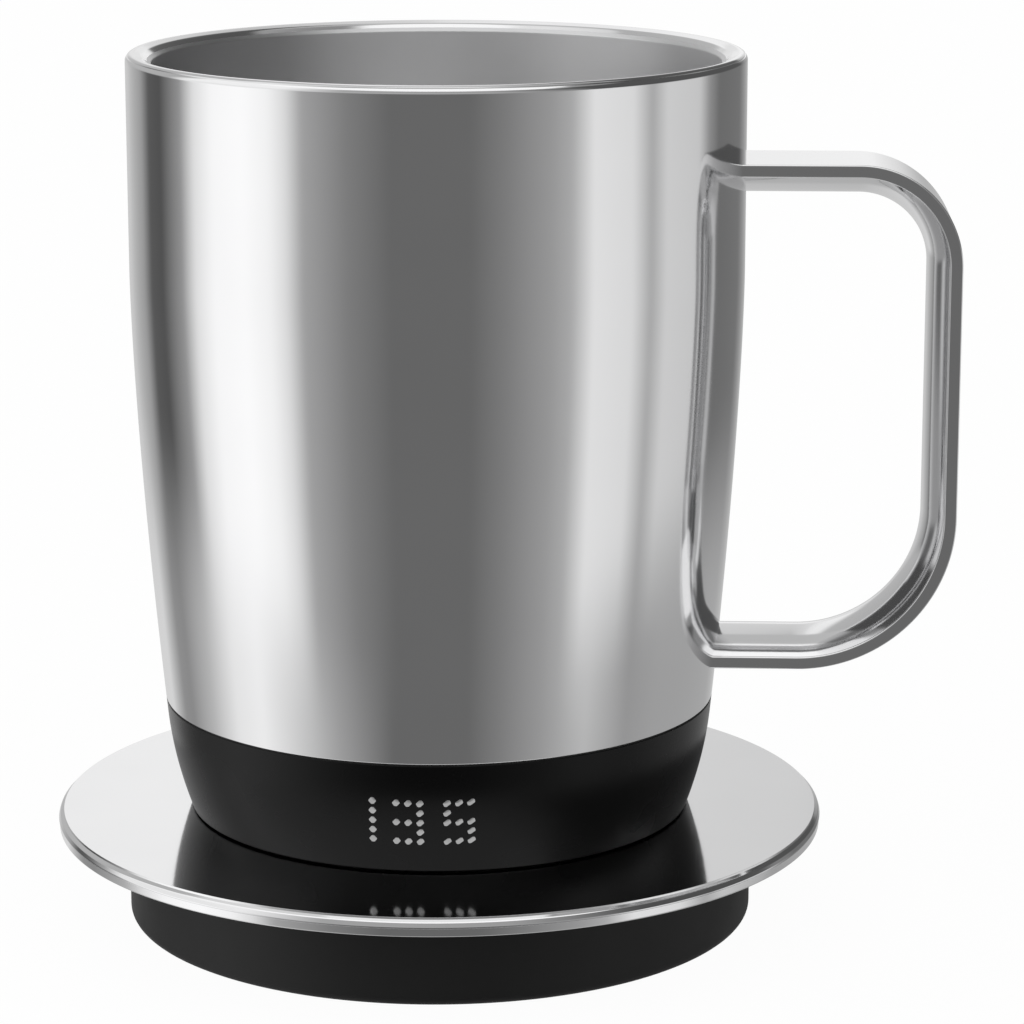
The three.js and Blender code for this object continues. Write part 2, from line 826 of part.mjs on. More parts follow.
function pinBarrel() {
  return revolve([
    [0, coasterBoardTop],
    [barrelRadius, coasterBoardTop],
    [barrelRadius, blockTop],
    [pinRadius + pinGap, blockTop],
    [pinRadius + pinGap, blockTop - barrelLip],
    [barrelInner, blockTop - barrelLip],
    [barrelInner, springBottom],
    [0, springBottom],
  ], smallSides);
}

function chargePin() {
  return revolve([
    [0, shoulderBottom],
    [pinRadius + pinShoulderWidth, shoulderBottom],
    [pinRadius + pinShoulderWidth, shoulderTop],
    [pinRadius, shoulderTop],
    [pinRadius, pinTop - pinTipRounding],
    [pinRadius - pinTipRounding, pinTop],
    [0, pinTop],
  ], smallSides);
}

class SpringCurve extends THREE.Curve {
  getPoint(share, target = new THREE.Vector3()) {
    const angle = share * springTurns * 2 * Math.PI;
    const radius = barrelInner - pinGap - springWireRadius;
    const bottom = springBottom + springWireRadius + springEndGap;
    const top = shoulderBottom - springWireRadius - springEndGap;
    return target.set(radius * Math.cos(angle), radius * Math.sin(angle), bottom + (top - bottom) * share);
  }
}

function pinSpring() {
  const section = new THREE.Shape(onCircle(springWireSides, springWireRadius, 0)
    .map(([x, y]) => new THREE.Vector2(x, y)));
  return solidOf(new THREE.ExtrudeGeometry(section, {
    steps: springTurns * springTurnSteps,
    extrudePath: new SpringCurve(),
    bevelEnabled: false,
  }));
}

// A barrel socket: its body stands on the board, and its nose passes through the wall.
function powerInlet() {
  const front = baseInner - inletWallGap;
  const noseEnd = baseRadius - inletNoseRecess;
  const middle = coasterBoardTop + inletHeight / 2;
  const alongY = (solid) => solid.rotate([-90, 0, 0]).translate([0, 0, middle]);
  const nose = alongY(disc(inletNoseRadius, front - cutOverrun, noseEnd, mediumSides));
  const bore = alongY(ring(inletPinRadius, inletBoreRadius, noseEnd - inletBoreDepth, noseEnd + cutOverrun,
    smallSides));
  const pinCut = alongY(disc(inletBoreRadius, noseEnd - inletPinRecess, noseEnd + cutOverrun, smallSides));
  return block(inletWidth, inletLength, coasterBoardTop, coasterBoardTop + inletHeight, 0,
    front - inletLength / 2)
    .add(nose)
    .subtract(bore)
    .subtract(pinCut);
}

// Coaster

const coaster = new THREE.Group();

piece(coaster, 'top_plate', topPlate(), polishedSteel);
piece(coaster, 'plate_gasket', ring(flangeRadius - gasketMargin - gasketWidth, flangeRadius - gasketMargin,
  flangeTop, plateUnderside), rubber);
piece(coaster, 'coaster_base', coasterBase(), mattBlack);
piece(coaster, 'foot_pad', disc(padRadius, 0, padThickness), rubber);
piece(coaster, 'coaster_board', coasterBoard(), circuitGreen);
piece(coaster, 'contact_block', contactBlock(), satinBlack);
piece(coaster, 'power_inlet', powerInlet(), mattBlack);
for (const [name, x] of [['inner', innerRingRadius], ['outer', -outerRingRadius]]) {
  piece(coaster, `pin_barrel_${name}`, pinBarrel().translate([x, 0, 0]), gold);
  piece(coaster, `charge_pin_${name}`, chargePin().translate([x, 0, 0]), gold);
  piece(coaster, `pin_spring_${name}`, pinSpring().translate([x, 0, 0]), springSteel);
}
coasterScrewPlaces().forEach(([x, y], i) => {
  const solid = screw(coasterHeadRadius, coasterHeadHeight, coasterShankRadius, coasterShankLength,
    coasterHeadTop());
  piece(coaster, `coaster_screw_${i + 1}`, solid.translate([x, y, 0]), springSteel);
});

const product = new THREE.Group();
product.add(coaster, mug);

export default product;
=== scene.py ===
# Looks of the self heating mug on its charging coaster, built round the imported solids.
# The frame is in metres. Sizes here are in millimetres and are scaled as each mesh is made.
# +Z is up, +X points to the handle and -Y to the lit digits. Mug heights start at the mug's foot.

import json
import math

import bmesh
import bpy
from mathutils import Matrix, Vector


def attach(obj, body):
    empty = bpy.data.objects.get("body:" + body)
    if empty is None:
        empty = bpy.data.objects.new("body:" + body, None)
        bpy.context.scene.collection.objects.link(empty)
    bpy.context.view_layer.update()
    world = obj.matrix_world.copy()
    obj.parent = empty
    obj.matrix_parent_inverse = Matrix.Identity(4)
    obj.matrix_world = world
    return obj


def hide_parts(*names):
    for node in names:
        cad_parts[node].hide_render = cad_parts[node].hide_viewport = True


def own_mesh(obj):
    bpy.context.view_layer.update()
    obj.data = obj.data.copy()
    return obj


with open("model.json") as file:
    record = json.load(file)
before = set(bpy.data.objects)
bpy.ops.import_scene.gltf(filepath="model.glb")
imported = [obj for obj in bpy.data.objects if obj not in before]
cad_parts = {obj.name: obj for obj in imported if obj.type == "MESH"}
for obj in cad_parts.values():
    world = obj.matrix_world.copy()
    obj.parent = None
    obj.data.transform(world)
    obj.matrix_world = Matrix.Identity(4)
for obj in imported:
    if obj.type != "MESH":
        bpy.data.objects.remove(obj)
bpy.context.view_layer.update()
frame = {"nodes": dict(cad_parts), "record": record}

MM = 0.001

# Facets
WIDE_SIDES = 224
MEDIUM_SIDES = 96
SMALL_SIDES = 48
ROUNDING_STEP = math.radians(12)
SHARP_ANGLE = math.radians(32)
LONG_SIDE = 4                          # how many times longer than its neighbour a long side is
ON_AXIS = 0.001                        # a radius below this is a point on the axis
WALL_STEPS = 40
HOUSING_STEPS = 32
HIDDEN_STEPS = 8
CUT_REACH = 1.0                        # how far a cutter reaches past what it cuts

# Mug body
MUG_HEIGHT = 112.7
RIM_RADIUS = 45.0
TAPER_INSET = 5.88
TAPER_HEIGHT = 81.1
TAPER_POWER = 1.52
TUCK_INSET = 1.98
TUCK_HEIGHT = 14.7
TUCK_POWER = 2
SHEET = 0.8
RIM_ROUNDING = 1.12
CREST_WIDTH = 0.1
CREST_ROUNDING = 0.6
SEAM_TURN = math.radians(44)
SEAM_WIDTH = 0.2
SEAM_DEPTH = 0.08
RIM_STEPS = 5
LIP_WIDTH = 3.75
LIP_DROP = 1.44
LIP_BEND_RADIUS = 42.6
LIP_BEND_DROP = 0.39
LIP_BEND_ROUNDING = 1.0
RIM_INSIDE = (1.3, 2.0, 3.0)           # sheets down to the hidden side, at the bend, crest and edge
CUP_SHEET = 0.6
CUP_ROUNDING = 0.35
CUP_CORNER = 8.0
CUP_UNDERSIDE = 31.2
JOINT_HEIGHT = 17.1
SEAL_THICKNESS = 0.22
SEAL_RECESS = 0.12
EDGE_BREAK = 0.15
JOINT_EDGE = 0.12

# Mug base
HOUSING_EDGE = 0.25
HOUSING_CORNER = 0.3
FOOT_REVEAL = 0.25
FOOT_THICKNESS = 1.5
FOOT_EDGE = 0.5
FOOT_INSET = 1.2
FOOT_WIDTH = 2.6
FOOT_WALL = 1.2
SEAT_GAP = 0.1
LEDGE_TOP = 4.4
LEDGE_WIDTH = 4.0
HOUSING_WALL = 2.4
SLEEVE_INSET = 1.0
SLEEVE_WALL = 2.2
SLEEVE_TOP = 28.0
COVER_BOTTOM = 1.6
COVER_TOP = 3.2
COVER_EDGE = 0.25
CONTACT_RADII = {"contact_ring_inner": 7.25, "contact_ring_outer": 10.75}
CONTACT_WIDTH = 1.9
CONTACT_THICKNESS = 0.7
CONTACT_EDGE = 0.15
CONTACT_GROOVE_EDGE = 0.08
BUTTON_RADIUS = 4.2
BUTTON_HOLE = 4.5
BUTTON_BOTTOM = 1.9
BUTTON_DISH = 0.3
BUTTON_FACE = (                        # shares of its radius and of its dish, and a rounding
    (0.0, 1.0),
    (0.45, 0.8),
    (0.8, 0.1, 0.6),
    (1.0, 0.4, 0.2),
)
BUTTON_FLANGE = 1.0
BUTTON_TOP = 3.9
SCREW_COUNT = 3
SCREW_CIRCLE = 26.87
SCREW_TURN = math.radians(30)
SCREW_HEAD_RADIUS = 1.8
SCREW_HEAD_BOTTOM = 1.7
SCREW_HEAD_TOP = 2.6
SCREW_HEAD_EDGE = 0.3
SCREW_SHANK_RADIUS = 1.0
SCREW_SHANK_TOP = 5.8
SCREW_HOLE_GAP = 0.15
SCREW_HOLE_CHAMFER = 0.15
SCREW_HOLE_LEAD = 0.01
DRIVE_RADIUS = 0.9
DRIVE_DEPTH = 0.5
DRIVE_CONE = 0.2
DRIVE_SIDES = 6

# Lit digits
DISPLAY_HEIGHT = 8.2
DISPLAY_SHIFT = -0.17
DISPLAY_SAG = 0.0045
DOT_WIDTH = 1.18
DOT_HEIGHT = 1.02
DOT_FLAT = 0.3
DOT_CORNER = 0.2
DOT_PITCH_AROUND = 1.69
DOT_PITCH_UP = 1.5
GLYPH_GAPS = (3.37, 3.82, 0.0)
DOT_SLANT = 0.038
DOT_SINK = 0.4
DOT_STEP = 0.005
DOT_DOME = 0.035
DOT_SHOULDER = (0.86, 0.8)             # shares of the dot's size and of its dome
DIGIT_PATTERNS = (
    ("#", "#", "#", "#", "#"),
    ("###", "..#", "###", "..#", "###"),
    ("###", "#..", "###", "..#", "###"),
)

# Handle
HANDLE_TOP = 97.35
HANDLE_BOTTOM = 22.6
HANDLE_REACH = 76.2
BAND_WIDTH = 16.0
BAND_THICKNESS = 1.85
BAND_OUTER_EDGE = 0.2
BAND_INNER_EDGE = 0.25
UPPER_BEND = 15.0
LOWER_BEND = 23.0
BEND_STEPS = 40
ARM_STEPS = 12
ARM_SINK = 0.5
GRIP_WIDTH = 15.4
GRIP_BULGE = 2.95
GRIP_STEPS = 28
GRIP_SINK = 0.05

# Coaster, with its heights measured from the floor
LIFT = 17.25
PLATE_RADIUS = 57.3
PLATE_THICKNESS = 0.8
PLATE_STEP = (0.045, 0.28)             # across and down, as the next two are
PLATE_BEVEL = (0.52, 0.28)
PLATE_SHOULDER = (0.22, 0.64)
PLATE_STEP_EDGE = 0.02
PLATE_ROUNDING = 0.3
PLATE_EDGE = 0.2
PLATE_HOLE = 14.0
SKIRT_DEPTH = 2.62
SKIRT_INSET = 0.12
RIM_LINE_DROP = 0.08
RIM_LINE_WIDTH = 0.16
RIM_LINE_DEPTH = 0.2
RIM_LINE_EDGE = 0.04
BASE_RADIUS = 46.83
BASE_WALL = 2.0
BASE_CORNER = 1.2
BASE_NECK = 0.8
BASE_BOTTOM = 0.72
FLANGE_RADIUS = 55.85
FLANGE_BOTTOM = 14.75
FLANGE_TOP = 16.15
FLANGE_EDGE = 0.2
FLOOR_TOP = 2.6
FLOOR_CORNER = 1.0
PAD_RADIUS = 42.03
PAD_THICKNESS = 1.0
PAD_EDGE = 0.35
PAD_GROOVES = (12.0, 22.0, 32.0, 38.5)
PAD_GROOVE_WIDTH = 1.0
PAD_GROOVE_DEPTH = 0.35
PAD_GROOVE_EDGE = 0.12

# Contact block and charge pins
BOARD_TOP = 6.2
BLOCK_NECK = 13.7
BLOCK_BODY = 15.0
BLOCK_FLANGE = 18.0
BLOCK_FLANGE_BOTTOM = 14.65
BLOCK_TOP = 17.0
BLOCK_EDGE = 0.35
BARREL_RADIUS = 1.5
BARREL_INNER = 1.05
BARREL_LIP = 1.1
BARREL_EDGE = 0.12
SPRING_BOTTOM = 9.0
PIN_RADIUS = 0.7
PIN_BORE = 0.8
PIN_TOP = 18.55
PIN_SHOULDER_RADIUS = 0.95
PIN_SHOULDER_BOTTOM = 14.25
PIN_SHOULDER_TOP = 15.85
PIN_TIP = 0.45
PIN_PLACES = {"inner": 7.25, "outer": -10.75}
SPRING_WIRE = 0.18
SPRING_GAP = 0.1                       # between the coil and the barrel's wall
SPRING_END_GAP = 0.05
SPRING_TURNS = 6
SPRING_TURN_STEPS = 24
SPRING_WIRE_SIDES = 10

# Power inlet at the rear
INLET_HEIGHT = 10.5
INLET_HOLE = 4.0
INLET_CHAMFER = 0.35
INLET_NOSE = 3.7
INLET_BORE = 3.0
INLET_PIN = 1.05
INLET_PIN_TIP = 0.4
INLET_END = 46.53
INLET_PIN_END = 45.53
INLET_BORE_END = 38.53
INLET_BACK = 30.13
INLET_OVERLAP = 1.0                    # of the nose, body and pin
INLET_BODY_WIDTH = 9.0
INLET_BODY_HEIGHT = 8.6
INLET_EDGE = 0.25
INLET_EDGE_STEPS = 3

# Camera
CAMERA_TURN = math.radians(3.49)       # round the object from -Y towards +X
CAMERA_DISTANCE = 559.8
CAMERA_HEIGHT = 172.84                 # above the coaster's plate
CAMERA_YAW = math.radians(1.116)       # aimed a little to the right of the mug's axis
CAMERA_PITCH = math.radians(12.957)    # aimed down
FOCAL_SHARE = 3.7697                   # focal length as a share of the frame's width
SENSOR_WIDTH = 36.0


def add_camera():
    data = bpy.data.cameras.new("camera")
    data.sensor_width = SENSOR_WIDTH
    data.lens = FOCAL_SHARE * SENSOR_WIDTH
    camera = bpy.data.objects.new("camera", data)
    camera.location = MM * Vector((
        CAMERA_DISTANCE * math.sin(CAMERA_TURN),
        -CAMERA_DISTANCE * math.cos(CAMERA_TURN),
        LIFT + CAMERA_HEIGHT,
    ))
    camera.rotation_euler = (math.pi / 2 - CAMERA_PITCH, 0, CAMERA_TURN - CAMERA_YAW)
    bpy.context.collection.objects.link(camera)
    bpy.context.scene.camera = camera


# Material helpers

NOISE_RANGE = (0.3, 0.7)               # nearly all of the noise is in it
TINT_CHANGE = 0.1
METAL_CLOUDS = 60.0
METAL_LINES = 900.0
LINE_STRETCH = (0.05, 0.05, 1.0)
SMALL_METAL_CLOUDS = 500.0
PLASTIC_CLOUDS = 70.0
DOT_CLOUDS = 900.0
DOT_SHADE = 0.04
DOT_ROUGHNESS = 0.4
DOT_GLOW = (0.3, 0.36)
DOT_SLOPE = (0.05, 0.11)               # the slopes between which the glow rises
DOT_LEAST_GLOW = 0.4
QUARTER_TURN = 0.25


def new_material(name):
    material = bpy.data.materials.new(name)
    material.use_nodes = True
    return material, material.node_tree.nodes["Principled BSDF"]


def add_node(material, kind, **values):
    node = material.node_tree.nodes.new(kind)
    for key, value in values.items():
        setattr(node, key, value)
    return node


def connect(material, source, target):
    material.node_tree.links.new(source, target)


def object_noise(material, scale, stretch=(1, 1, 1), detail=2.0):
    """Noise fixed to the object. The scale is in features for each metre, times the stretch."""
    place = add_node(material, "ShaderNodeTexCoord")
    mapping = add_node(material, "ShaderNodeMapping")
    mapping.inputs["Scale"].default_value = stretch
    noise = add_node(material, "ShaderNodeTexNoise")
    noise.inputs["Scale"].default_value = scale
    noise.inputs["Detail"].default_value = detail
    connect(material, place.outputs["Object"], mapping.inputs["Vector"])
    connect(material, mapping.outputs["Vector"], noise.inputs["Vector"])
    return noise.outputs["Fac"]


def spread(material, value, low, high):
    """Spreads a noise value over a range."""
    node = add_node(material, "ShaderNodeMapRange")
    node.inputs["From Min"].default_value = NOISE_RANGE[0]
    node.inputs["From Max"].default_value = NOISE_RANGE[1]
    node.inputs["To Min"].default_value = low
    node.inputs["To Max"].default_value = high
    connect(material, value, node.inputs["Value"])
    return node.outputs["Result"]


def add_bump(material, shader, height, distance):
    bump = add_node(material, "ShaderNodeBump")
    bump.inputs["Distance"].default_value = distance * MM
    connect(material, height, bump.inputs["Height"])
    connect(material, bump.outputs["Normal"], shader.inputs["Normal"])


def blend_colors(material, value, low, high):
    mix = add_node(material, "ShaderNodeMix", data_type="RGBA")
    mix.inputs["A"].default_value = (*low, 1)
    mix.inputs["B"].default_value = (*high, 1)
    connect(material, spread(material, value, 0.0, 1.0), mix.inputs["Factor"])
    return mix.outputs["Result"]


def grey(level):
    return (level, level, level)


def tinted(color, change):
    """A color as far below and as far above the given one."""
    return [tuple(share * part for part in color) for share in (1 - change, 1 + change)]


# Materials

def metal(name, color, variation, roughness, line_height, line_scale=METAL_LINES, turned=0.0):
    """Metal with a cloudy tint and sheen, and faint turning lines round the part.

    A turned part also spreads its reflections across those lines.
    """
    material, shader = new_material(name)
    cloud = object_noise(material, METAL_CLOUDS)
    lines = object_noise(material, line_scale, stretch=LINE_STRETCH, detail=3.0)
    tint = blend_colors(material, cloud, *tinted(color, variation))
    connect(material, tint, shader.inputs["Base Color"])
    connect(material, spread(material, cloud, *roughness), shader.inputs["Roughness"])
    shader.inputs["Metallic"].default_value = 1.0
    if turned:
        tangent = add_node(material, "ShaderNodeTangent", direction_type="RADIAL", axis="Z")
        connect(material, tangent.outputs["Tangent"], shader.inputs["Tangent"])
        shader.inputs["Anisotropic"].default_value = turned
        shader.inputs["Anisotropic Rotation"].default_value = QUARTER_TURN
    add_bump(material, shader, lines, line_height)
    return material


def small_metal(name, color, roughness):
    material, shader = new_material(name)
    cloud = object_noise(material, SMALL_METAL_CLOUDS, detail=4.0)
    tint = blend_colors(material, cloud, *tinted(color, TINT_CHANGE))
    connect(material, tint, shader.inputs["Base Color"])
    connect(material, spread(material, cloud, *roughness), shader.inputs["Roughness"])
    shader.inputs["Metallic"].default_value = 1.0
    return material


def plastic(name, level, roughness, gloss, grain_scale, grain_height):
    """Moulded black plastic with a fine even grain and a slightly uneven sheen."""
    material, shader = new_material(name)
    shader.inputs["Specular IOR Level"].default_value = gloss
    cloud = object_noise(material, PLASTIC_CLOUDS)
    grain = object_noise(material, grain_scale, detail=1.0)
    tint = blend_colors(material, cloud, *tinted(grey(level), TINT_CHANGE))
    connect(material, tint, shader.inputs["Base Color"])
    connect(material, spread(material, cloud, *roughness), shader.inputs["Roughness"])
    add_bump(material, shader, grain, grain_height)
    return material


def lit_dots():
    """Lit dots that throw less light straight out than at a slant."""
    material, shader = new_material("lit_dots")
    cloud = object_noise(material, DOT_CLOUDS)
    shader.inputs["Base Color"].default_value = (*grey(DOT_SHADE), 1)
    shader.inputs["Roughness"].default_value = DOT_ROUGHNESS
    glow = blend_colors(material, cloud, *[grey(level) for level in DOT_GLOW])
    connect(material, glow, shader.inputs["Emission Color"])
    slope = add_node(material, "ShaderNodeLayerWeight")
    slope.inputs["Blend"].default_value = 0.5
    aim = add_node(material, "ShaderNodeMapRange")
    aim.inputs["From Min"].default_value = DOT_SLOPE[0]
    aim.inputs["From Max"].default_value = DOT_SLOPE[1]
    aim.inputs["To Min"].default_value = DOT_LEAST_GLOW
    connect(material, slope.outputs["Facing"], aim.inputs["Value"])
    connect(material, aim.outputs["Result"], shader.inputs["Emission Strength"])
    return material


def speckled(name, low, high, scale, roughness, depth=0.02):
    """Rubber, boards, wraps, felt and ceramic: a two-tone speckle with a matching bump."""
    material, shader = new_material(name)
    cloud = object_noise(material, scale, detail=5.0)
    connect(material, blend_colors(material, cloud, low, high), shader.inputs["Base Color"])
    shader.inputs["Roughness"].default_value = roughness
    add_bump(material, shader, cloud, depth)
    return material


MATERIALS = {
    "polished_steel": metal("polished_steel", (0.78, 0.78, 0.785), 0.012, (0.07, 0.1), 0.0003),
    "cup_steel": metal("cup_steel", (0.76, 0.76, 0.765), 0.03, (0.42, 0.5), 0.0015, 1600.0, 0.85),
    "mug_plastic": plastic("mug_plastic", 0.0008, (0.25, 0.31), 0.2, 4000.0, 0.001),
    "coaster_plastic": plastic("coaster_plastic", 0.012, (0.52, 0.6), 0.32, 3000.0, 0.006),
    "rubber": speckled("rubber", grey(0.008), grey(0.016), 1200.0, 0.8, 0.01),
    "lit_dots": lit_dots(),
    "contact_gold": small_metal("contact_gold", (0.75, 0.53, 0.21), (0.18, 0.3)),
    "fastener_steel": small_metal("fastener_steel", (0.5, 0.5, 0.51), (0.28, 0.42)),
    "sensor_copper": small_metal("sensor_copper", (0.65, 0.33, 0.18), (0.25, 0.38)),
    "circuit_board": speckled("circuit_board", (0.015, 0.07, 0.03), (0.02, 0.1, 0.04), 700.0, 0.4),
    "cell_wrap": speckled("cell_wrap", (0.03, 0.09, 0.28), (0.04, 0.11, 0.33), 300.0, 0.35),
    "insulation_felt": speckled("insulation_felt", (0.28, 0.27, 0.24), (0.4, 0.39, 0.36), 2500.0, 0.95),
    "heater_ceramic": speckled("heater_ceramic", (0.62, 0.6, 0.54), (0.72, 0.7, 0.64), 1500.0, 0.6),
}


# Outlines and meshes

def wall_radius(height):
    """The mug's outer wall: upright at the top, tapered below, tucked in over the last stretch."""
    taper = max(0.0, 1 - height / TAPER_HEIGHT)
    tuck = max(0.0, 1 - height / TUCK_HEIGHT)
    return RIM_RADIUS - TAPER_INSET * taper ** TAPER_POWER - TUCK_INSET * tuck ** TUCK_POWER


def wall_points(start, end, inset=0.0, steps=WALL_STEPS):
    heights = [start + (end - start) * i / steps for i in range(steps + 1)]
    return [(wall_radius(height) - inset, height) for height in heights]


def rounded(points, closed):
    """Rounds the corners of an outline that carry a third value, their rounding."""
    count = len(points)
    result = []
    for i, point in enumerate(points):
        corner = Vector(point[:2])
        rounding = point[2] if len(point) > 2 else 0
        inner = closed or 0 < i < count - 1
        if not rounding or not inner:
            result.append(corner)
            continue
        back = Vector(points[i - 1][:2]) - corner
        ahead = Vector(points[(i + 1) % count][:2]) - corner
        half = back.angle(ahead) / 2
        reach = rounding / math.tan(half)
        inward = (back.normalized() + ahead.normalized()).normalized()
        middle = corner + inward * rounding / math.sin(half)
        first = corner + back.normalized() * reach - middle
        last = corner + ahead.normalized() * reach - middle
        steps = max(2, math.ceil((math.pi - 2 * half) / ROUNDING_STEP))
        turn = first.angle_signed(last)
        for step in range(steps + 1):
            spoke = Matrix.Rotation(-turn * step / steps, 2) @ first
            result.append(middle + spoke)
    return result


def graded(points, closed):
    """Adds a point near each end of a long side that meets a short one, so that it shades flat."""
    count = len(points)
    last = count if closed else count - 1
    sides = [(points[(i + 1) % count] - points[i]) for i in range(last)]
    result = []
    for i in range(count):
        result.append(points[i])
        if i >= last:
            continue
        side = sides[i]
        before = sides[i - 1].length if closed or i else side.length
        after = sides[(i + 1) % last].length if closed or i + 1 < last else side.length
        if side.length > LONG_SIDE * before:
            result.append(points[i] + side.normalized() * before)
        if side.length > LONG_SIDE * after:
            result.append(points[i] + side - side.normalized() * after)
    return result


def finish_mesh(mesh):
    mesh.shade_smooth()
    mesh.set_sharp_from_angle(angle=SHARP_ANGLE)
    return mesh


def mesh_of(name, build):
    """A mesh whose closed bodies are filled in by build, in millimetres."""
    shape = bmesh.new()
    build(shape)
    bmesh.ops.recalc_face_normals(shape, faces=shape.faces)
    bmesh.ops.scale(shape, vec=(MM, MM, MM), verts=shape.verts)
    mesh = bpy.data.meshes.new(name)
    shape.to_mesh(mesh)
    shape.free()
    return finish_mesh(mesh)


def bridge(shape, loops):
    """Joins each loop of corners to the next one."""
    for one, two in zip(loops, loops[1:]):
        for i in range(len(one)):
            k = (i + 1) % len(one)
            shape.faces.new((one[i], one[k], two[k], two[i]))


def spin(shape, outline, sides, closed=True, place=Matrix()):
    """Turns an outline round the Z axis. An open outline starts and ends on the axis."""
    points = graded(rounded(outline, closed), closed)
    rings = []
    for radius, height in points:
        if radius < ON_AXIS:
            rings.append([shape.verts.new(place @ Vector((0, 0, height)))])
            continue
        ring = []
        for i in range(sides):
            angle = 2 * math.pi * i / sides
            spot = Vector((radius * math.cos(angle), radius * math.sin(angle), height))
            ring.append(shape.verts.new(place @ spot))
        rings.append(ring)
    pairs = list(zip(rings, rings[1:]))
    if closed:
        pairs.append((rings[-1], rings[0]))
    for lower, upper in pairs:
        for i in range(sides):
            k = (i + 1) % sides
            corners = list(dict.fromkeys((
                lower[i % len(lower)], lower[k % len(lower)],
                upper[k % len(upper)], upper[i % len(upper)],
            )))
            if len(corners) > 2:
                shape.faces.new(corners)


def lathe(name, outline, sides=WIDE_SIDES, lift=0.0, closed=True, place=Matrix()):
    move = Matrix.Translation((0, 0, lift)) @ place
    return mesh_of(name, lambda shape: spin(shape, outline, sides, closed, move))


def band_of(inner, outer, bottom, top, rounding=0.0):
    """The outline of a ring with all four edges rounded."""
    corners = ((inner, bottom), (outer, bottom), (outer, top), (inner, top))
    return [(*corner, rounding) for corner in corners]


def add_piece(name, mesh, slot, body, *nodes):
    """A visible piece that rides on a body and stands for the named solids."""
    piece = bpy.data.objects.new(name, mesh)
    bpy.context.collection.objects.link(piece)
    mesh.materials.clear()
    mesh.materials.append(MATERIALS[slot])
    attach(piece, body)
    if nodes:
        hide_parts(*nodes)
    return piece


def cut(mesh, *cutters):
    """Cuts the cutter meshes out of a mesh."""
    collection = bpy.context.collection
    piece = bpy.data.objects.new("cut_piece", mesh)
    collection.objects.link(piece)
    tools = []
    for cutter in cutters:
        tool = bpy.data.objects.new("cut_tool", cutter)
        collection.objects.link(tool)
        modifier = piece.modifiers.new("cut", "BOOLEAN")
        modifier.operation = "DIFFERENCE"
        modifier.solver = "EXACT"
        modifier.object = tool
        tools.append(tool)
    graph = bpy.context.evaluated_depsgraph_get()
    result = bpy.data.meshes.new_from_object(piece.evaluated_get(graph))
    result.name = mesh.name
    for extra in (piece, *tools):
        bpy.data.objects.remove(extra)
    return finish_mesh(result)


# Mug body

def lip_height(radius):
    """The lip slopes down in a straight line from its bend to the cup."""
    share = (LIP_BEND_RADIUS - radius) / (LIP_BEND_RADIUS - RIM_RADIUS + LIP_WIDTH)
    return MUG_HEIGHT - LIP_BEND_DROP - (LIP_DROP - LIP_BEND_DROP) * share


def rim_points():
    """The rim's outer rounding, with the fine seam of its folded edge."""
    half = SEAM_WIDTH / 2 / RIM_ROUNDING

    def spot(turn, sunk=0.0):
        reach = RIM_ROUNDING - sunk
        return (RIM_RADIUS - RIM_ROUNDING + reach * math.cos(turn),
                MUG_HEIGHT - RIM_ROUNDING + reach * math.sin(turn))

    def arc(start, end):
        return [spot(start + (end - start) * i / RIM_STEPS) for i in range(RIM_STEPS + 1)]

    return [*arc(0, SEAM_TURN - half), spot(SEAM_TURN, SEAM_DEPTH), *arc(SEAM_TURN + half, math.pi / 2)]


def add_outer_shell():
    crest = RIM_RADIUS - RIM_ROUNDING - CREST_WIDTH
    lip_end = RIM_RADIUS - LIP_WIDTH + CUP_SHEET
    bottom = wall_radius(JOINT_HEIGHT)
    under_bend, under_crest, under_edge = (sheets * SHEET for sheets in RIM_INSIDE)
    outline = [
        (bottom - SHEET, JOINT_HEIGHT),
        (bottom, JOINT_HEIGHT, EDGE_BREAK),
        *wall_points(JOINT_HEIGHT, TAPER_HEIGHT)[1:],
        *rim_points(),
        (crest, MUG_HEIGHT, CREST_ROUNDING),
        (LIP_BEND_RADIUS, MUG_HEIGHT - LIP_BEND_DROP, LIP_BEND_ROUNDING),
        (lip_end, lip_height(lip_end)),
        (lip_end, lip_height(lip_end) - SHEET),
        (LIP_BEND_RADIUS, MUG_HEIGHT - LIP_BEND_DROP - under_bend),
        (crest - SHEET, MUG_HEIGHT - under_crest),
        (RIM_RADIUS - SHEET, MUG_HEIGHT - under_edge),
        *wall_points(TAPER_HEIGHT, JOINT_HEIGHT, SHEET)[:-1],
    ]
    mesh = lathe("mug_shell", outline, lift=LIFT)
    add_piece("mug_shell", mesh, "polished_steel", "mug", "outer_shell")


def add_inner_cup():
    floor = CUP_UNDERSIDE + CUP_SHEET
    corner_top = floor + CUP_CORNER
    corner_radius = wall_radius(corner_top) - LIP_WIDTH
    inner = RIM_RADIUS - LIP_WIDTH
    outline = [
        (0, CUP_UNDERSIDE),
        (corner_radius + CUP_SHEET, CUP_UNDERSIDE, CUP_CORNER + CUP_SHEET),
        *wall_points(corner_top, TAPER_HEIGHT, LIP_WIDTH - CUP_SHEET)[1:],
        (inner + CUP_SHEET, lip_height(inner + CUP_SHEET)),
        (inner, lip_height(inner), CUP_ROUNDING),
        *wall_points(TAPER_HEIGHT, corner_top, LIP_WIDTH)[:-1],
        (corner_radius, floor, CUP_CORNER),
        (0, floor),
    ]
    mesh = lathe("mug_cup", outline, lift=LIFT, closed=False)
    add_piece("mug_cup", mesh, "cup_steel", "mug", "inner_cup")


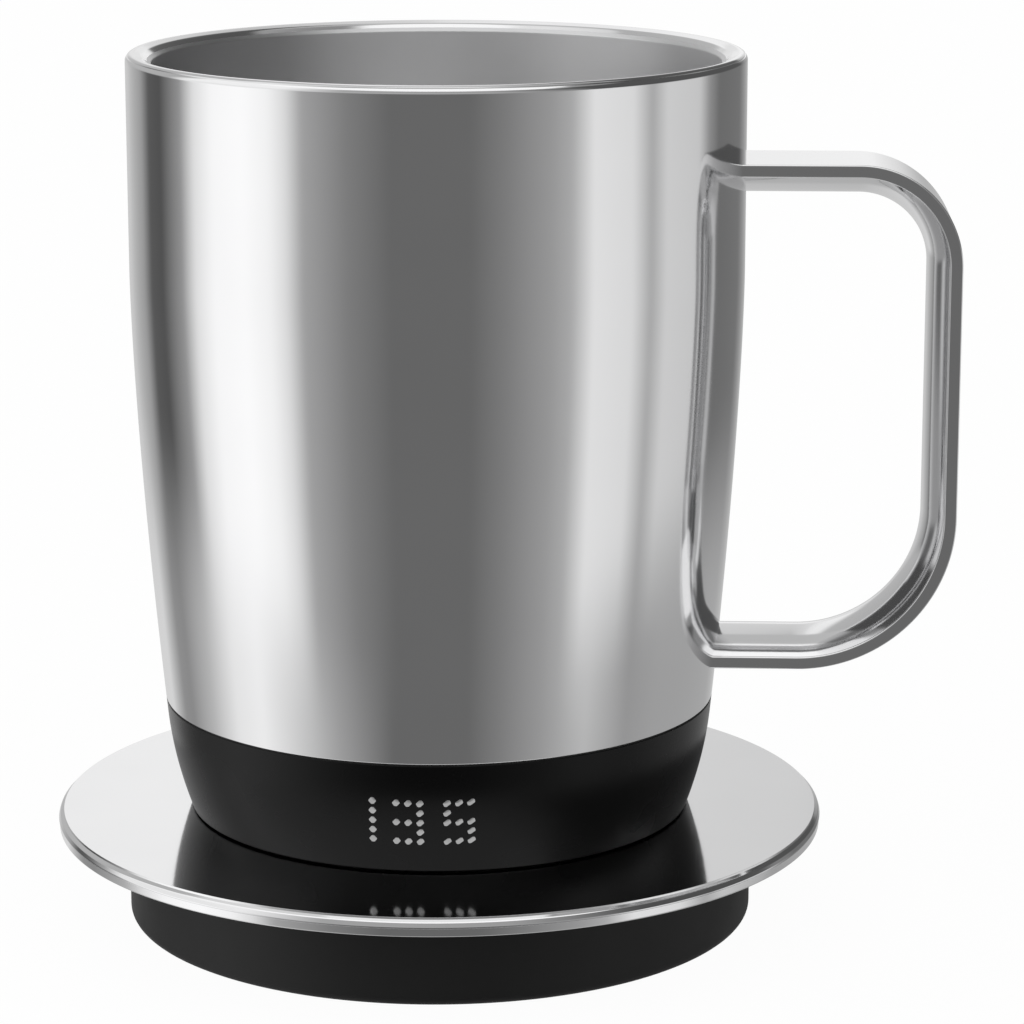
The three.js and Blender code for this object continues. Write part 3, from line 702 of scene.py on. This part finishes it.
def handle_stations():
    """Places along the handle's D, from the upper arm round to the lower one."""
    start = RIM_RADIUS
    stations = []
    upper_end = HANDLE_REACH - UPPER_BEND
    lower_end = HANDLE_REACH - LOWER_BEND
    for i in range(ARM_STEPS):
        stations.append((start + (upper_end - start) * i / ARM_STEPS, HANDLE_TOP, 90.0))
    for i in range(BEND_STEPS + 1):
        angle = 90.0 - 90.0 * i / BEND_STEPS
        turn = math.radians(angle)
        stations.append((upper_end + UPPER_BEND * math.cos(turn),
                         HANDLE_TOP - UPPER_BEND + UPPER_BEND * math.sin(turn), angle))
    side_top = HANDLE_TOP - UPPER_BEND
    side_bottom = HANDLE_BOTTOM + LOWER_BEND
    for i in range(1, ARM_STEPS):
        stations.append((HANDLE_REACH, side_top + (side_bottom - side_top) * i / ARM_STEPS, 0.0))
    for i in range(BEND_STEPS + 1):
        angle = -90.0 * i / BEND_STEPS
        turn = math.radians(angle)
        stations.append((lower_end + LOWER_BEND * math.cos(turn),
                         side_bottom + LOWER_BEND * math.sin(turn), angle))
    for i in range(1, ARM_STEPS + 1):
        stations.append((lower_end + (start - lower_end) * i / ARM_STEPS, HANDLE_BOTTOM, -90.0))
    return stations


def sweep(shape, section):
    """Sweeps a section of (across, depth) points along the handle, with its ends sunk in the wall."""
    stations = handle_stations()
    loops = []
    for index, (x, z, angle) in enumerate(stations):
        turn = math.radians(angle)
        loop = []
        for across, depth in section:
            px = x - depth * math.cos(turn)
            pz = z - depth * math.sin(turn)
            if index in (0, len(stations) - 1):
                px = math.sqrt((wall_radius(pz) - ARM_SINK) ** 2 - across ** 2)
            loop.append(shape.verts.new((px, across, pz + LIFT)))
        loops.append(loop)
    bridge(shape, loops)
    shape.faces.new(loops[0])
    shape.faces.new(loops[-1])


def add_handle():
    half = BAND_WIDTH / 2
    band = graded(rounded([
        (-half, 0, BAND_OUTER_EDGE),
        (half, 0, BAND_OUTER_EDGE),
        (half, BAND_THICKNESS, BAND_INNER_EDGE),
        (-half, BAND_THICKNESS, BAND_INNER_EDGE),
    ], True), True)
    mesh = mesh_of("handle_band", lambda shape: sweep(shape, band))
    add_piece("handle_band", mesh, "polished_steel", "mug", "handle_outer_band")
    half = GRIP_WIDTH / 2
    seat = BAND_THICKNESS - GRIP_SINK
    radius = (half ** 2 + GRIP_BULGE ** 2) / (2 * GRIP_BULGE)
    reach = math.asin(half / radius)
    grip = [(-half, seat), (half, seat)]
    for i in range(GRIP_STEPS + 1):
        angle = reach - 2 * reach * i / GRIP_STEPS
        depth = BAND_THICKNESS + GRIP_BULGE - radius * (1 - math.cos(angle))
        grip.append((radius * math.sin(angle), depth))
    mesh = mesh_of("handle_grip", lambda shape: sweep(shape, grip))
    add_piece("handle_grip", mesh, "polished_steel", "mug", "handle_inner_grip")


# Mug base

FOOT_OUTER = wall_radius(FOOT_REVEAL) - FOOT_INSET
FOOT_INNER = FOOT_OUTER - FOOT_WIDTH
COVER_SEAT = FOOT_INNER - FOOT_WALL


def add_base_housing():
    shoulder = JOINT_HEIGHT - SEAL_THICKNESS
    cover_inner = COVER_SEAT - SEAT_GAP - LEDGE_WIDTH
    outline = [
        (COVER_SEAT, FOOT_REVEAL, HOUSING_EDGE),
        (FOOT_INNER - SEAT_GAP, FOOT_REVEAL, HOUSING_EDGE),
        (FOOT_INNER - SEAT_GAP, FOOT_THICKNESS),
        (FOOT_OUTER + SEAT_GAP, FOOT_THICKNESS),
        (FOOT_OUTER + SEAT_GAP, FOOT_REVEAL, EDGE_BREAK),
        (wall_radius(FOOT_REVEAL), FOOT_REVEAL, HOUSING_CORNER),
        *wall_points(FOOT_REVEAL + 2 * HOUSING_CORNER, shoulder - EDGE_BREAK, steps=HOUSING_STEPS),
        (wall_radius(shoulder), shoulder, JOINT_EDGE),
        (wall_radius(shoulder) - SLEEVE_INSET, shoulder),
        *wall_points(shoulder, SLEEVE_TOP, SLEEVE_INSET, HIDDEN_STEPS)[1:],
        *wall_points(SLEEVE_TOP, JOINT_HEIGHT, SLEEVE_INSET + SLEEVE_WALL, HIDDEN_STEPS),
        *wall_points(JOINT_HEIGHT - HOUSING_WALL, LEDGE_TOP, HOUSING_WALL, HIDDEN_STEPS),
        (cover_inner, LEDGE_TOP),
        (cover_inner, COVER_TOP),
        (COVER_SEAT, COVER_TOP),
    ]
    mesh = lathe("mug_base", outline, lift=LIFT)
    add_piece("mug_base", mesh, "mug_plastic", "mug", "base_housing")
    seal_inner = wall_radius(JOINT_HEIGHT) - SHEET
    seal_outer = wall_radius(shoulder) - SEAL_RECESS
    seal = band_of(seal_inner, seal_outer, shoulder, JOINT_HEIGHT)
    add_piece("mug_seal", lathe("mug_seal", seal, lift=LIFT), "rubber", "mug", "shell_seal")


def digit_columns():
    """Each column of dots: its offset to the side from the middle, and which rows are lit."""
    columns = []
    offset = 0.0
    for pattern, gap in zip(DIGIT_PATTERNS, GLYPH_GAPS):
        width = len(pattern[0])
        for column in range(width):
            columns.append((offset, [row[column] == "#" for row in pattern]))
            offset += DOT_PITCH_AROUND if column + 1 < width else gap
    middle = columns[-1][0] / 2 - DISPLAY_SHIFT
    return [(offset - middle, rows) for offset, rows in columns]


def add_lit_dots():
    """Low domed lozenges, flush in the wall, which lean over more from left to right."""
    first = digit_columns()[0][0]
    flat = DOT_WIDTH * DOT_FLAT / 2
    high = DOT_HEIGHT / 2
    wide = DOT_WIDTH / 2

    def dot(shape, offset, height):
        slant = DOT_SLANT * (offset - first)
        corners = ((wide, 0), (flat, high), (-flat, high), (-wide, 0), (-flat, -high), (flat, -high))
        lozenge = rounded([(x + slant * y, y, DOT_CORNER) for x, y in corners], True)

        def spot(across, up, proud):
            radius = wall_radius(height + up) + proud
            side = offset + across
            return shape.verts.new((side, -math.sqrt(radius ** 2 - side ** 2), height + up + LIFT))

        size, rise = DOT_SHOULDER
        levels = [(1.0, -DOT_SINK), (1.0, DOT_STEP), (size, DOT_DOME * rise)]
        loops = [[spot(share * x, share * y, proud) for x, y in lozenge] for share, proud in levels]
        bridge(shape, loops)
        crown = spot(0, 0, DOT_DOME)
        count = len(lozenge)
        for i in range(count):
            shape.faces.new((loops[-1][i], loops[-1][(i + 1) % count], crown))
        shape.faces.new(loops[0])

    def dots(shape):
        for offset, rows in digit_columns():
            middle = DISPLAY_HEIGHT + DISPLAY_SAG * offset ** 2
            for row, lit in enumerate(rows):
                if lit:
                    dot(shape, offset, middle + DOT_PITCH_UP * ((len(rows) - 1) / 2 - row))

    add_piece("display_dots", mesh_of("display_dots", dots), "lit_dots", "mug")


def on_circle(count, radius, first):
    return [Vector((radius * math.cos(first + 2 * math.pi * i / count),
                    radius * math.sin(first + 2 * math.pi * i / count), 0)) for i in range(count)]


def add_mug_underside():
    foot = [
        (FOOT_INNER, 0, FOOT_EDGE),
        (FOOT_OUTER, 0, FOOT_EDGE),
        (FOOT_OUTER, FOOT_THICKNESS),
        (FOOT_INNER, FOOT_THICKNESS),
    ]
    add_piece("mug_foot", lathe("mug_foot", foot, lift=LIFT), "rubber", "mug", "foot_ring")

    def groove(radius):
        half = CONTACT_WIDTH / 2 + SEAT_GAP
        top = COVER_BOTTOM + CONTACT_THICKNESS
        return [
            (radius - half, COVER_BOTTOM, CONTACT_GROOVE_EDGE),
            (radius - half, top),
            (radius + half, top),
            (radius + half, COVER_BOTTOM, CONTACT_GROOVE_EDGE),
        ]

    cover = [
        (BUTTON_HOLE, COVER_TOP),
        (BUTTON_HOLE, COVER_BOTTOM, COVER_EDGE),
        *[point for radius in CONTACT_RADII.values() for point in groove(radius)],
        (COVER_SEAT - SEAT_GAP, COVER_BOTTOM, COVER_EDGE),
        (COVER_SEAT - SEAT_GAP, COVER_TOP),
    ]
    head_hole = SCREW_HEAD_RADIUS + SCREW_HOLE_GAP
    shank_hole = SCREW_SHANK_RADIUS + SCREW_HOLE_GAP
    bore = [
        (0, 0),
        (head_hole + SCREW_HOLE_CHAMFER, 0),
        (head_hole + SCREW_HOLE_CHAMFER, COVER_BOTTOM - SCREW_HOLE_LEAD),
        (head_hole, COVER_BOTTOM + SCREW_HOLE_CHAMFER),
        (head_hole, SCREW_HEAD_TOP),
        (shank_hole, SCREW_HEAD_TOP),
        (shank_hole, COVER_TOP + CUT_REACH),
        (0, COVER_TOP + CUT_REACH),
    ]
    spots = on_circle(SCREW_COUNT, SCREW_CIRCLE, SCREW_TURN)
    places = [Matrix.Translation(spot) for spot in spots]
    bores = [lathe("bore", bore, SMALL_SIDES, LIFT, False, place) for place in places]
    mesh = cut(lathe("mug_cover", cover, lift=LIFT), *bores)
    add_piece("mug_cover", mesh, "mug_plastic", "mug", "bottom_cover")
    for name, radius in CONTACT_RADII.items():
        half = CONTACT_WIDTH / 2
        top = COVER_BOTTOM + CONTACT_THICKNESS
        ring = band_of(radius - half, radius + half, COVER_BOTTOM, top, CONTACT_EDGE)
        add_piece("gold_" + name, lathe(name, ring, MEDIUM_SIDES, LIFT), "contact_gold", "mug", name)

    screw = [
        (0, SCREW_HEAD_BOTTOM),
        (SCREW_HEAD_RADIUS, SCREW_HEAD_BOTTOM, SCREW_HEAD_EDGE),
        (SCREW_HEAD_RADIUS, SCREW_HEAD_TOP),
        (SCREW_SHANK_RADIUS, SCREW_HEAD_TOP),
        (SCREW_SHANK_RADIUS, SCREW_SHANK_TOP),
        (0, SCREW_SHANK_TOP),
    ]
    drive_top = SCREW_HEAD_BOTTOM + DRIVE_DEPTH
    drive = [(0, 0), (DRIVE_RADIUS, 0), (DRIVE_RADIUS, drive_top), (0, drive_top + DRIVE_CONE)]
    for i, place in enumerate(places, 1):
        head = lathe("screw", screw, SMALL_SIDES, LIFT, False, place)
        key = lathe("drive", drive, DRIVE_SIDES, LIFT, False, place)
        add_piece(f"mug_screw_{i}", cut(head, key), "fastener_steel", "mug", f"cover_screw_{i}")

    face = [
        (BUTTON_RADIUS * across, BUTTON_BOTTOM + BUTTON_DISH * up, *rounding)
        for across, up, *rounding in BUTTON_FACE
    ]
    button = [
        *face,
        (BUTTON_RADIUS, COVER_TOP),
        (BUTTON_RADIUS + BUTTON_FLANGE, COVER_TOP),
        (BUTTON_RADIUS + BUTTON_FLANGE, BUTTON_TOP),
        (0, BUTTON_TOP),
    ]
    mesh = lathe("mug_button", button, MEDIUM_SIDES, LIFT, False)
    add_piece("mug_button", mesh, "coaster_plastic", "power_button", "power_button")


# Coaster

def add_plate():
    outer = PLATE_RADIUS
    bevel = outer - PLATE_SHOULDER[0] - PLATE_BEVEL[0]
    bevel_top = LIFT - PLATE_STEP[1]
    shoulder_top = bevel_top - PLATE_BEVEL[1]
    edge_bottom = shoulder_top - PLATE_SHOULDER[1]
    line = edge_bottom - RIM_LINE_DROP
    skirt_outer = PLATE_RADIUS - SKIRT_INSET
    skirt_bottom = LIFT - SKIRT_DEPTH
    skirt_inner = skirt_outer - PLATE_THICKNESS
    outline = [
        (PLATE_HOLE, LIFT, PLATE_EDGE),
        (bevel - PLATE_STEP[0], LIFT, PLATE_STEP_EDGE),
        (bevel, bevel_top),
        (bevel + PLATE_BEVEL[0], shoulder_top, PLATE_ROUNDING),
        (outer, edge_bottom, PLATE_ROUNDING),
        (outer, line),
        (outer - RIM_LINE_DEPTH, line - RIM_LINE_WIDTH / 2),
        (skirt_outer, line - RIM_LINE_WIDTH, RIM_LINE_EDGE),
        (skirt_outer, skirt_bottom, PLATE_EDGE),
        (skirt_inner, skirt_bottom, PLATE_EDGE),
        (skirt_inner, LIFT - PLATE_THICKNESS),
        (PLATE_HOLE, LIFT - PLATE_THICKNESS),
    ]
    add_piece("coaster_plate", lathe("coaster_plate", outline), "polished_steel", "coaster", "top_plate")


def along_rear(height):
    """Turns the Z axis of a lathed part towards the rear, at the given height."""
    return Matrix.Translation((0, 0, height)) @ Matrix.Rotation(-math.pi / 2, 4, "X")


def add_coaster_base():
    inner = BASE_RADIUS - BASE_WALL
    outline = [
        (0, PAD_THICKNESS),
        (PAD_RADIUS + SEAT_GAP, PAD_THICKNESS),
        (PAD_RADIUS + SEAT_GAP, BASE_BOTTOM, EDGE_BREAK),
        (BASE_RADIUS, BASE_BOTTOM, BASE_CORNER),
        (BASE_RADIUS, FLANGE_BOTTOM, BASE_NECK),
        (FLANGE_RADIUS, FLANGE_BOTTOM, FLANGE_EDGE),
        (FLANGE_RADIUS, FLANGE_TOP),
        (inner, FLANGE_TOP),
        (inner, FLOOR_TOP, FLOOR_CORNER),
        (0, FLOOR_TOP),
    ]
    mouth = INLET_HOLE + 2 * INLET_CHAMFER
    hole = [
        (0, inner - 2 * CUT_REACH),
        (INLET_HOLE, inner - 2 * CUT_REACH),
        (INLET_HOLE, BASE_RADIUS - INLET_CHAMFER),
        (mouth, BASE_RADIUS + INLET_CHAMFER),
        (mouth, BASE_RADIUS + 2 * CUT_REACH),
        (0, BASE_RADIUS + 2 * CUT_REACH),
    ]
    tool = lathe("inlet_hole", hole, MEDIUM_SIDES, closed=False, place=along_rear(INLET_HEIGHT))
    mesh = cut(lathe("coaster_shell", outline, closed=False), tool)
    add_piece("coaster_shell", mesh, "coaster_plastic", "coaster", "coaster_base")

    grooves = []
    for radius in PAD_GROOVES:
        start = radius - PAD_GROOVE_WIDTH / 2
        end = radius + PAD_GROOVE_WIDTH / 2
        corners = ((start, 0), (start, PAD_GROOVE_DEPTH), (end, PAD_GROOVE_DEPTH), (end, 0))
        grooves += [(*corner, PAD_GROOVE_EDGE) for corner in corners]
    pad = [
        (0, 0),
        *grooves,
        (PAD_RADIUS, 0, PAD_EDGE),
        (PAD_RADIUS, PAD_THICKNESS),
        (0, PAD_THICKNESS),
    ]
    add_piece("coaster_pad", lathe("coaster_pad", pad, closed=False), "rubber", "coaster", "foot_pad")


def add_inlet():
    nose_start = INLET_BORE_END - 2 * INLET_OVERLAP
    body_end = INLET_BORE_END - INLET_OVERLAP
    nose = [
        (0, nose_start),
        (INLET_NOSE, nose_start),
        (INLET_NOSE, INLET_END, INLET_EDGE),
        (INLET_BORE, INLET_END, INLET_EDGE),
        (INLET_BORE, INLET_BORE_END),
        (0, INLET_BORE_END),
    ]
    turn = along_rear(INLET_HEIGHT)

    def build(shape):
        spin(shape, nose, MEDIUM_SIDES, False, turn)
        length = body_end - INLET_BACK
        size = Matrix.Diagonal((INLET_BODY_WIDTH, length, INLET_BODY_HEIGHT, 1))
        middle = Matrix.Translation((0, INLET_BACK + length / 2, INLET_HEIGHT))
        box = bmesh.ops.create_cube(shape, size=1, matrix=middle @ size)
        edges = {edge for vert in box["verts"] for edge in vert.link_edges}
        bmesh.ops.bevel(shape, geom=list(edges), offset=INLET_EDGE, segments=INLET_EDGE_STEPS,
                        affect="EDGES")

    mesh = mesh_of("coaster_inlet", build)
    add_piece("coaster_inlet", mesh, "coaster_plastic", "coaster", "power_inlet")
    pin = [
        (0, body_end),
        (INLET_PIN, body_end),
        (INLET_PIN, INLET_PIN_END, INLET_PIN_TIP),
        (0, INLET_PIN_END),
    ]
    mesh = lathe("coaster_inlet_pin", pin, SMALL_SIDES, closed=False, place=turn)
    add_piece("coaster_inlet_pin", mesh, "fastener_steel", "coaster")


def coil(shape, place):
    """A pin's spring, from the floor of its barrel to the pin's shoulder."""
    radius = BARREL_INNER - SPRING_GAP - SPRING_WIRE
    bottom = SPRING_BOTTOM + SPRING_END_GAP + SPRING_WIRE
    top = PIN_SHOULDER_BOTTOM - SPRING_END_GAP - SPRING_WIRE
    count = SPRING_TURNS * SPRING_TURN_STEPS
    loops = []
    for i in range(count + 1):
        turn = 2 * math.pi * i / SPRING_TURN_STEPS
        height = bottom + (top - bottom) * i / count
        loop = []
        for spot in on_circle(SPRING_WIRE_SIDES, SPRING_WIRE, 0):
            reach = radius + spot.x
            corner = Vector((reach * math.cos(turn), reach * math.sin(turn), height + spot.y))
            loop.append(shape.verts.new(place @ corner))
        loops.append(loop)
    bridge(shape, loops)
    shape.faces.new(loops[0])
    shape.faces.new(loops[-1])


def add_contacts():
    flange_top = LIFT - PLATE_THICKNESS
    block = [
        (0, BOARD_TOP),
        (BLOCK_BODY, BOARD_TOP),
        (BLOCK_BODY, BLOCK_FLANGE_BOTTOM),
        (BLOCK_FLANGE, BLOCK_FLANGE_BOTTOM),
        (BLOCK_FLANGE, flange_top),
        (BLOCK_NECK, flange_top),
        (BLOCK_NECK, BLOCK_TOP, BLOCK_EDGE),
        (0, BLOCK_TOP),
    ]
    hole = BARREL_RADIUS + SEAT_GAP
    bore = [
        (0, BOARD_TOP - CUT_REACH),
        (hole, BOARD_TOP - CUT_REACH),
        (hole, BLOCK_TOP - SEAT_GAP),
        (hole + SEAT_GAP, BLOCK_TOP + SEAT_GAP),
        (hole + SEAT_GAP, BLOCK_TOP + CUT_REACH),
        (0, BLOCK_TOP + CUT_REACH),
    ]
    barrel = [
        (0, BOARD_TOP),
        (BARREL_RADIUS, BOARD_TOP),
        (BARREL_RADIUS, BLOCK_TOP, BARREL_EDGE),
        (PIN_BORE, BLOCK_TOP, BARREL_EDGE),
        (PIN_BORE, BLOCK_TOP - BARREL_LIP),
        (BARREL_INNER, BLOCK_TOP - BARREL_LIP),
        (BARREL_INNER, SPRING_BOTTOM),
        (0, SPRING_BOTTOM),
    ]
    pin = [
        (0, PIN_SHOULDER_BOTTOM),
        (PIN_SHOULDER_RADIUS, PIN_SHOULDER_BOTTOM),
        (PIN_SHOULDER_RADIUS, PIN_SHOULDER_TOP),
        (PIN_RADIUS, PIN_SHOULDER_TOP),
        (PIN_RADIUS, PIN_TOP, PIN_TIP),
        (0, PIN_TOP),
    ]
    places = {name: Matrix.Translation((x, 0, 0)) for name, x in PIN_PLACES.items()}
    bores = [lathe("bore", bore, SMALL_SIDES, closed=False, place=place) for place in places.values()]
    mesh = cut(lathe("coaster_block", block, closed=False), *bores)
    add_piece("coaster_block", mesh, "mug_plastic", "coaster", "contact_block")
    for name, place in places.items():
        mesh = lathe("barrel", barrel, SMALL_SIDES, closed=False, place=place)
        add_piece(f"coaster_barrel_{name}", mesh, "contact_gold", "coaster", f"pin_barrel_{name}")
        mesh = lathe("pin", pin, SMALL_SIDES, closed=False, place=place)
        add_piece(f"coaster_pin_{name}", mesh, "contact_gold", f"charge_pin_{name}", f"charge_pin_{name}")
        mesh = mesh_of("spring", lambda shape: coil(shape, place))
        spring = add_piece(
            f"coaster_spring_{name}", mesh, "fastener_steel", "coaster", f"pin_spring_{name}",
        )
        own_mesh(spring)


# Floor and light

# Brightness of the studio by the angle from the camera's side, positive towards the handle.
LOWER_BANDS = (
    (-180, 0.65), (-151, 0.77), (-135, 0.33), (-127, 0.31), (-110, 0.57), (-94, 0.98),
    (-80, 1.06), (-60, 0.71), (-43, 0.43), (-20, 0.165), (12, 0.165), (26, 0.255),
    (43, 0.38), (64, 0.58), (85, 0.37), (102, 0.42), (151, 0.45), (180, 0.65),
)
HORIZON_BANDS = (
    (-180, 0.66), (-160, 0.63), (-140, 0.39), (-132, 0.12), (-122, 0.1), (-108, 0.36),
    (-100, 0.92), (-90, 1.18), (-75, 1.23), (-64, 1.13), (-57, 0.9), (-50, 0.44),
    (-33, 0.255), (-17, 0.165), (12, 0.165), (25, 0.25), (42, 0.39), (50, 0.5),
    (59, 0.94), (76, 0.87), (85, 0.48), (93, 0.76), (112, 0.7), (119, 0.33),
    (127, 0.18), (150, 0.2), (180, 0.66),
)
LOW_SKY = (
    (-180, 0.85), (-172, 0.85), (-166, 0.55), (-115, 0.5), (-106, 1.0), (-60, 1.0),
    (-35, 0.5), (20, 0.45), (50, 0.3), (60, 0.09), (150, 0.1), (164, 0.5),
    (172, 1.0), (180, 0.9),
)
MIDDLE_SKY = (
    (-180, 0.92), (-176, 1.02), (-171, 1.0), (-165, 0.55), (-115, 0.5), (-106, 1.1),
    (-60, 1.1), (-35, 0.45), (20, 0.4), (58, 0.1), (152, 0.1), (166, 0.13),
    (171, 0.25), (174, 0.74), (176, 0.76), (180, 0.85),
)
HIGH_BELT = (
    (-180, 0.58), (-150, 0.6), (-120, 1.2), (45, 1.2), (62, 0.35), (90, 0.3),
    (125, 0.2), (143, 0.45), (155, 0.58), (180, 0.58),
)
NADIR_LEVEL = 0.53
ZENITH_LEVEL = 1.2

# Elevations, in degrees, over which each region of the studio gives way to the next one above it.
LOWER_START = (-66, -55)
HORIZON_START = (-22.5, -17.5)
LOW_SKY_START = (-3, 4)
MIDDLE_SKY_START = (12, 15)
BELT_START = (43, 47)
ZENITH_START = (59, 64)

# How far three of those borders lean towards the camera, as a slope.
HORIZON_TILT = 0.11
BELT_TILT = 0.16
ZENITH_TILT = 0.36


def sine(degrees):
    return math.sin(math.radians(degrees))


def add_world():
    """Studio light by direction: bands round the horizon, sky above them and plain grey below."""
    world = bpy.data.worlds.new("studio")
    world.use_nodes = True
    bpy.context.scene.world = world
    tree = world.node_tree
    tree.nodes.clear()

    def node(kind, **values):
        made = tree.nodes.new(kind)
        for key, value in values.items():
            setattr(made, key, value)
        return made

    def feed(socket, value):
        if isinstance(value, (int, float)):
            socket.default_value = value
        else:
            tree.links.new(value, socket)

    def math_node(operation, *values):
        made = node("ShaderNodeMath", operation=operation)
        for socket, value in zip(made.inputs, values):
            feed(socket, value)
        return made.outputs[0]

    def mix(factor, low, high):
        made = node("ShaderNodeMix", data_type="FLOAT")
        for name, value in (("Factor", factor), ("A", low), ("B", high)):
            feed(made.inputs[name], value)
        return made.outputs["Result"]

    direction = node("ShaderNodeTexCoord")
    turn = node("ShaderNodeVectorRotate", rotation_type="Z_AXIS")
    turn.inputs["Angle"].default_value = -CAMERA_TURN
    feed(turn.inputs["Vector"], direction.outputs["Generated"])
    split = node("ShaderNodeSeparateXYZ")
    feed(split.inputs[0], turn.outputs["Vector"])
    angle = math_node("ARCTAN2", split.outputs["X"], math_node("MULTIPLY", split.outputs["Y"], -1.0))
    share = math_node("ADD", math_node("DIVIDE", angle, 2 * math.pi), 0.5)

    def round_the_horizon(bands):
        ramp = node("ShaderNodeValToRGB")
        feed(ramp.inputs["Fac"], share)
        stops = ramp.color_ramp.elements
        peak = max(level for degrees, level in bands)
        for degrees, level in bands:
            spot = degrees / 360 + 0.5
            stop = {0: stops[0], 1: stops[-1]}.get(spot) or stops.new(spot)
            stop.color = (*grey(level / peak), 1)
        return math_node("MULTIPLY", ramp.outputs["Color"], peak)

    def rising(elevations, tilt=0.0):
        """From 0 to 1 between two elevations, over a border that may be tilted."""
        height = split.outputs["Z"]
        if tilt:
            lean = math_node("MULTIPLY", split.outputs["Y"], tilt)
            height = math_node("SUBTRACT", height, lean)
        made = node("ShaderNodeMapRange", interpolation_type="SMOOTHSTEP")
        feed(made.inputs["Value"], height)
        for name, elevation in zip(("From Min", "From Max"), elevations):
            made.inputs[name].default_value = sine(elevation)
        return made.outputs["Result"]

    light = mix(rising(LOWER_START), NADIR_LEVEL, round_the_horizon(LOWER_BANDS))
    light = mix(rising(HORIZON_START, HORIZON_TILT), light, round_the_horizon(HORIZON_BANDS))
    light = mix(rising(LOW_SKY_START), light, round_the_horizon(LOW_SKY))
    light = mix(rising(MIDDLE_SKY_START), light, round_the_horizon(MIDDLE_SKY))
    light = mix(rising(BELT_START, BELT_TILT), light, round_the_horizon(HIGH_BELT))
    light = mix(rising(ZENITH_START, ZENITH_TILT), light, ZENITH_LEVEL)
    path = node("ShaderNodeLightPath")
    background = node("ShaderNodeBackground")
    background.inputs["Color"].default_value = (*grey(1.0), 1)
    feed(background.inputs["Strength"], mix(path.outputs["Is Camera Ray"], light, 1.0))
    output = node("ShaderNodeOutputWorld")
    feed(output.inputs["Surface"], background.outputs["Background"])


FLOOR_REACH = 6000.0
FLOOR_GAP = 0.05                       # keeps the floor clear of the foot pad's flat underside
FLOOR_SHADOW = 0.03
FLOOR_ROUGHNESS = 0.9
FLOOR_LEVEL = 0.8                      # in the light that it throws back on the object


def add_floor():
    """A pale floor that stays white in view and keeps a soft shadow of the object."""
    mesh = bpy.data.meshes.new("floor")
    square = ((-1, -1), (1, -1), (1, 1), (-1, 1))
    reach = FLOOR_REACH * MM
    corners = [(x * reach, y * reach, -FLOOR_GAP * MM) for x, y in square]
    mesh.from_pydata(corners, [], [(0, 1, 2, 3)])
    floor = bpy.data.objects.new("floor", mesh)
    bpy.context.collection.objects.link(floor)
    material, shader = new_material("floor")
    shader.inputs["Roughness"].default_value = FLOOR_ROUGHNESS
    shader.inputs["Specular IOR Level"].default_value = 0.0
    white = add_node(material, "ShaderNodeEmission")
    path = add_node(material, "ShaderNodeLightPath")
    color = add_node(material, "ShaderNodeMix", data_type="RGBA")
    color.inputs["A"].default_value = (*grey(FLOOR_LEVEL), 1)
    color.inputs["B"].default_value = (*grey(1.0), 1)
    connect(material, path.outputs["Is Camera Ray"], color.inputs["Factor"])
    connect(material, color.outputs["Result"], shader.inputs["Base Color"])
    keep = add_node(material, "ShaderNodeMath", operation="MULTIPLY")
    keep.inputs[1].default_value = 1 - FLOOR_SHADOW
    connect(material, path.outputs["Is Camera Ray"], keep.inputs[0])
    mix = add_node(material, "ShaderNodeMixShader")
    connect(material, keep.outputs[0], mix.inputs["Fac"])
    connect(material, shader.outputs[0], mix.inputs[1])
    connect(material, white.outputs[0], mix.inputs[2])
    output = material.node_tree.nodes["Material Output"]
    connect(material, mix.outputs[0], output.inputs["Surface"])
    mesh.materials.append(material)
    floor.visible_glossy = False


def dress_solids():
    """The solids that stay take the material of their slot."""
    for part in frame["record"]["subparts"]:
        node = frame["nodes"][part["node"]]
        node.data.materials.clear()
        node.data.materials.append(MATERIALS[part["material_slot"]])


bpy.context.scene.view_settings.view_transform = "Standard"
add_camera()
add_world()
add_floor()
dress_solids()
add_outer_shell()
add_inner_cup()
add_handle()
add_base_housing()
add_lit_dots()
add_mug_underside()
add_plate()
add_coaster_base()
add_inlet()
add_contacts()
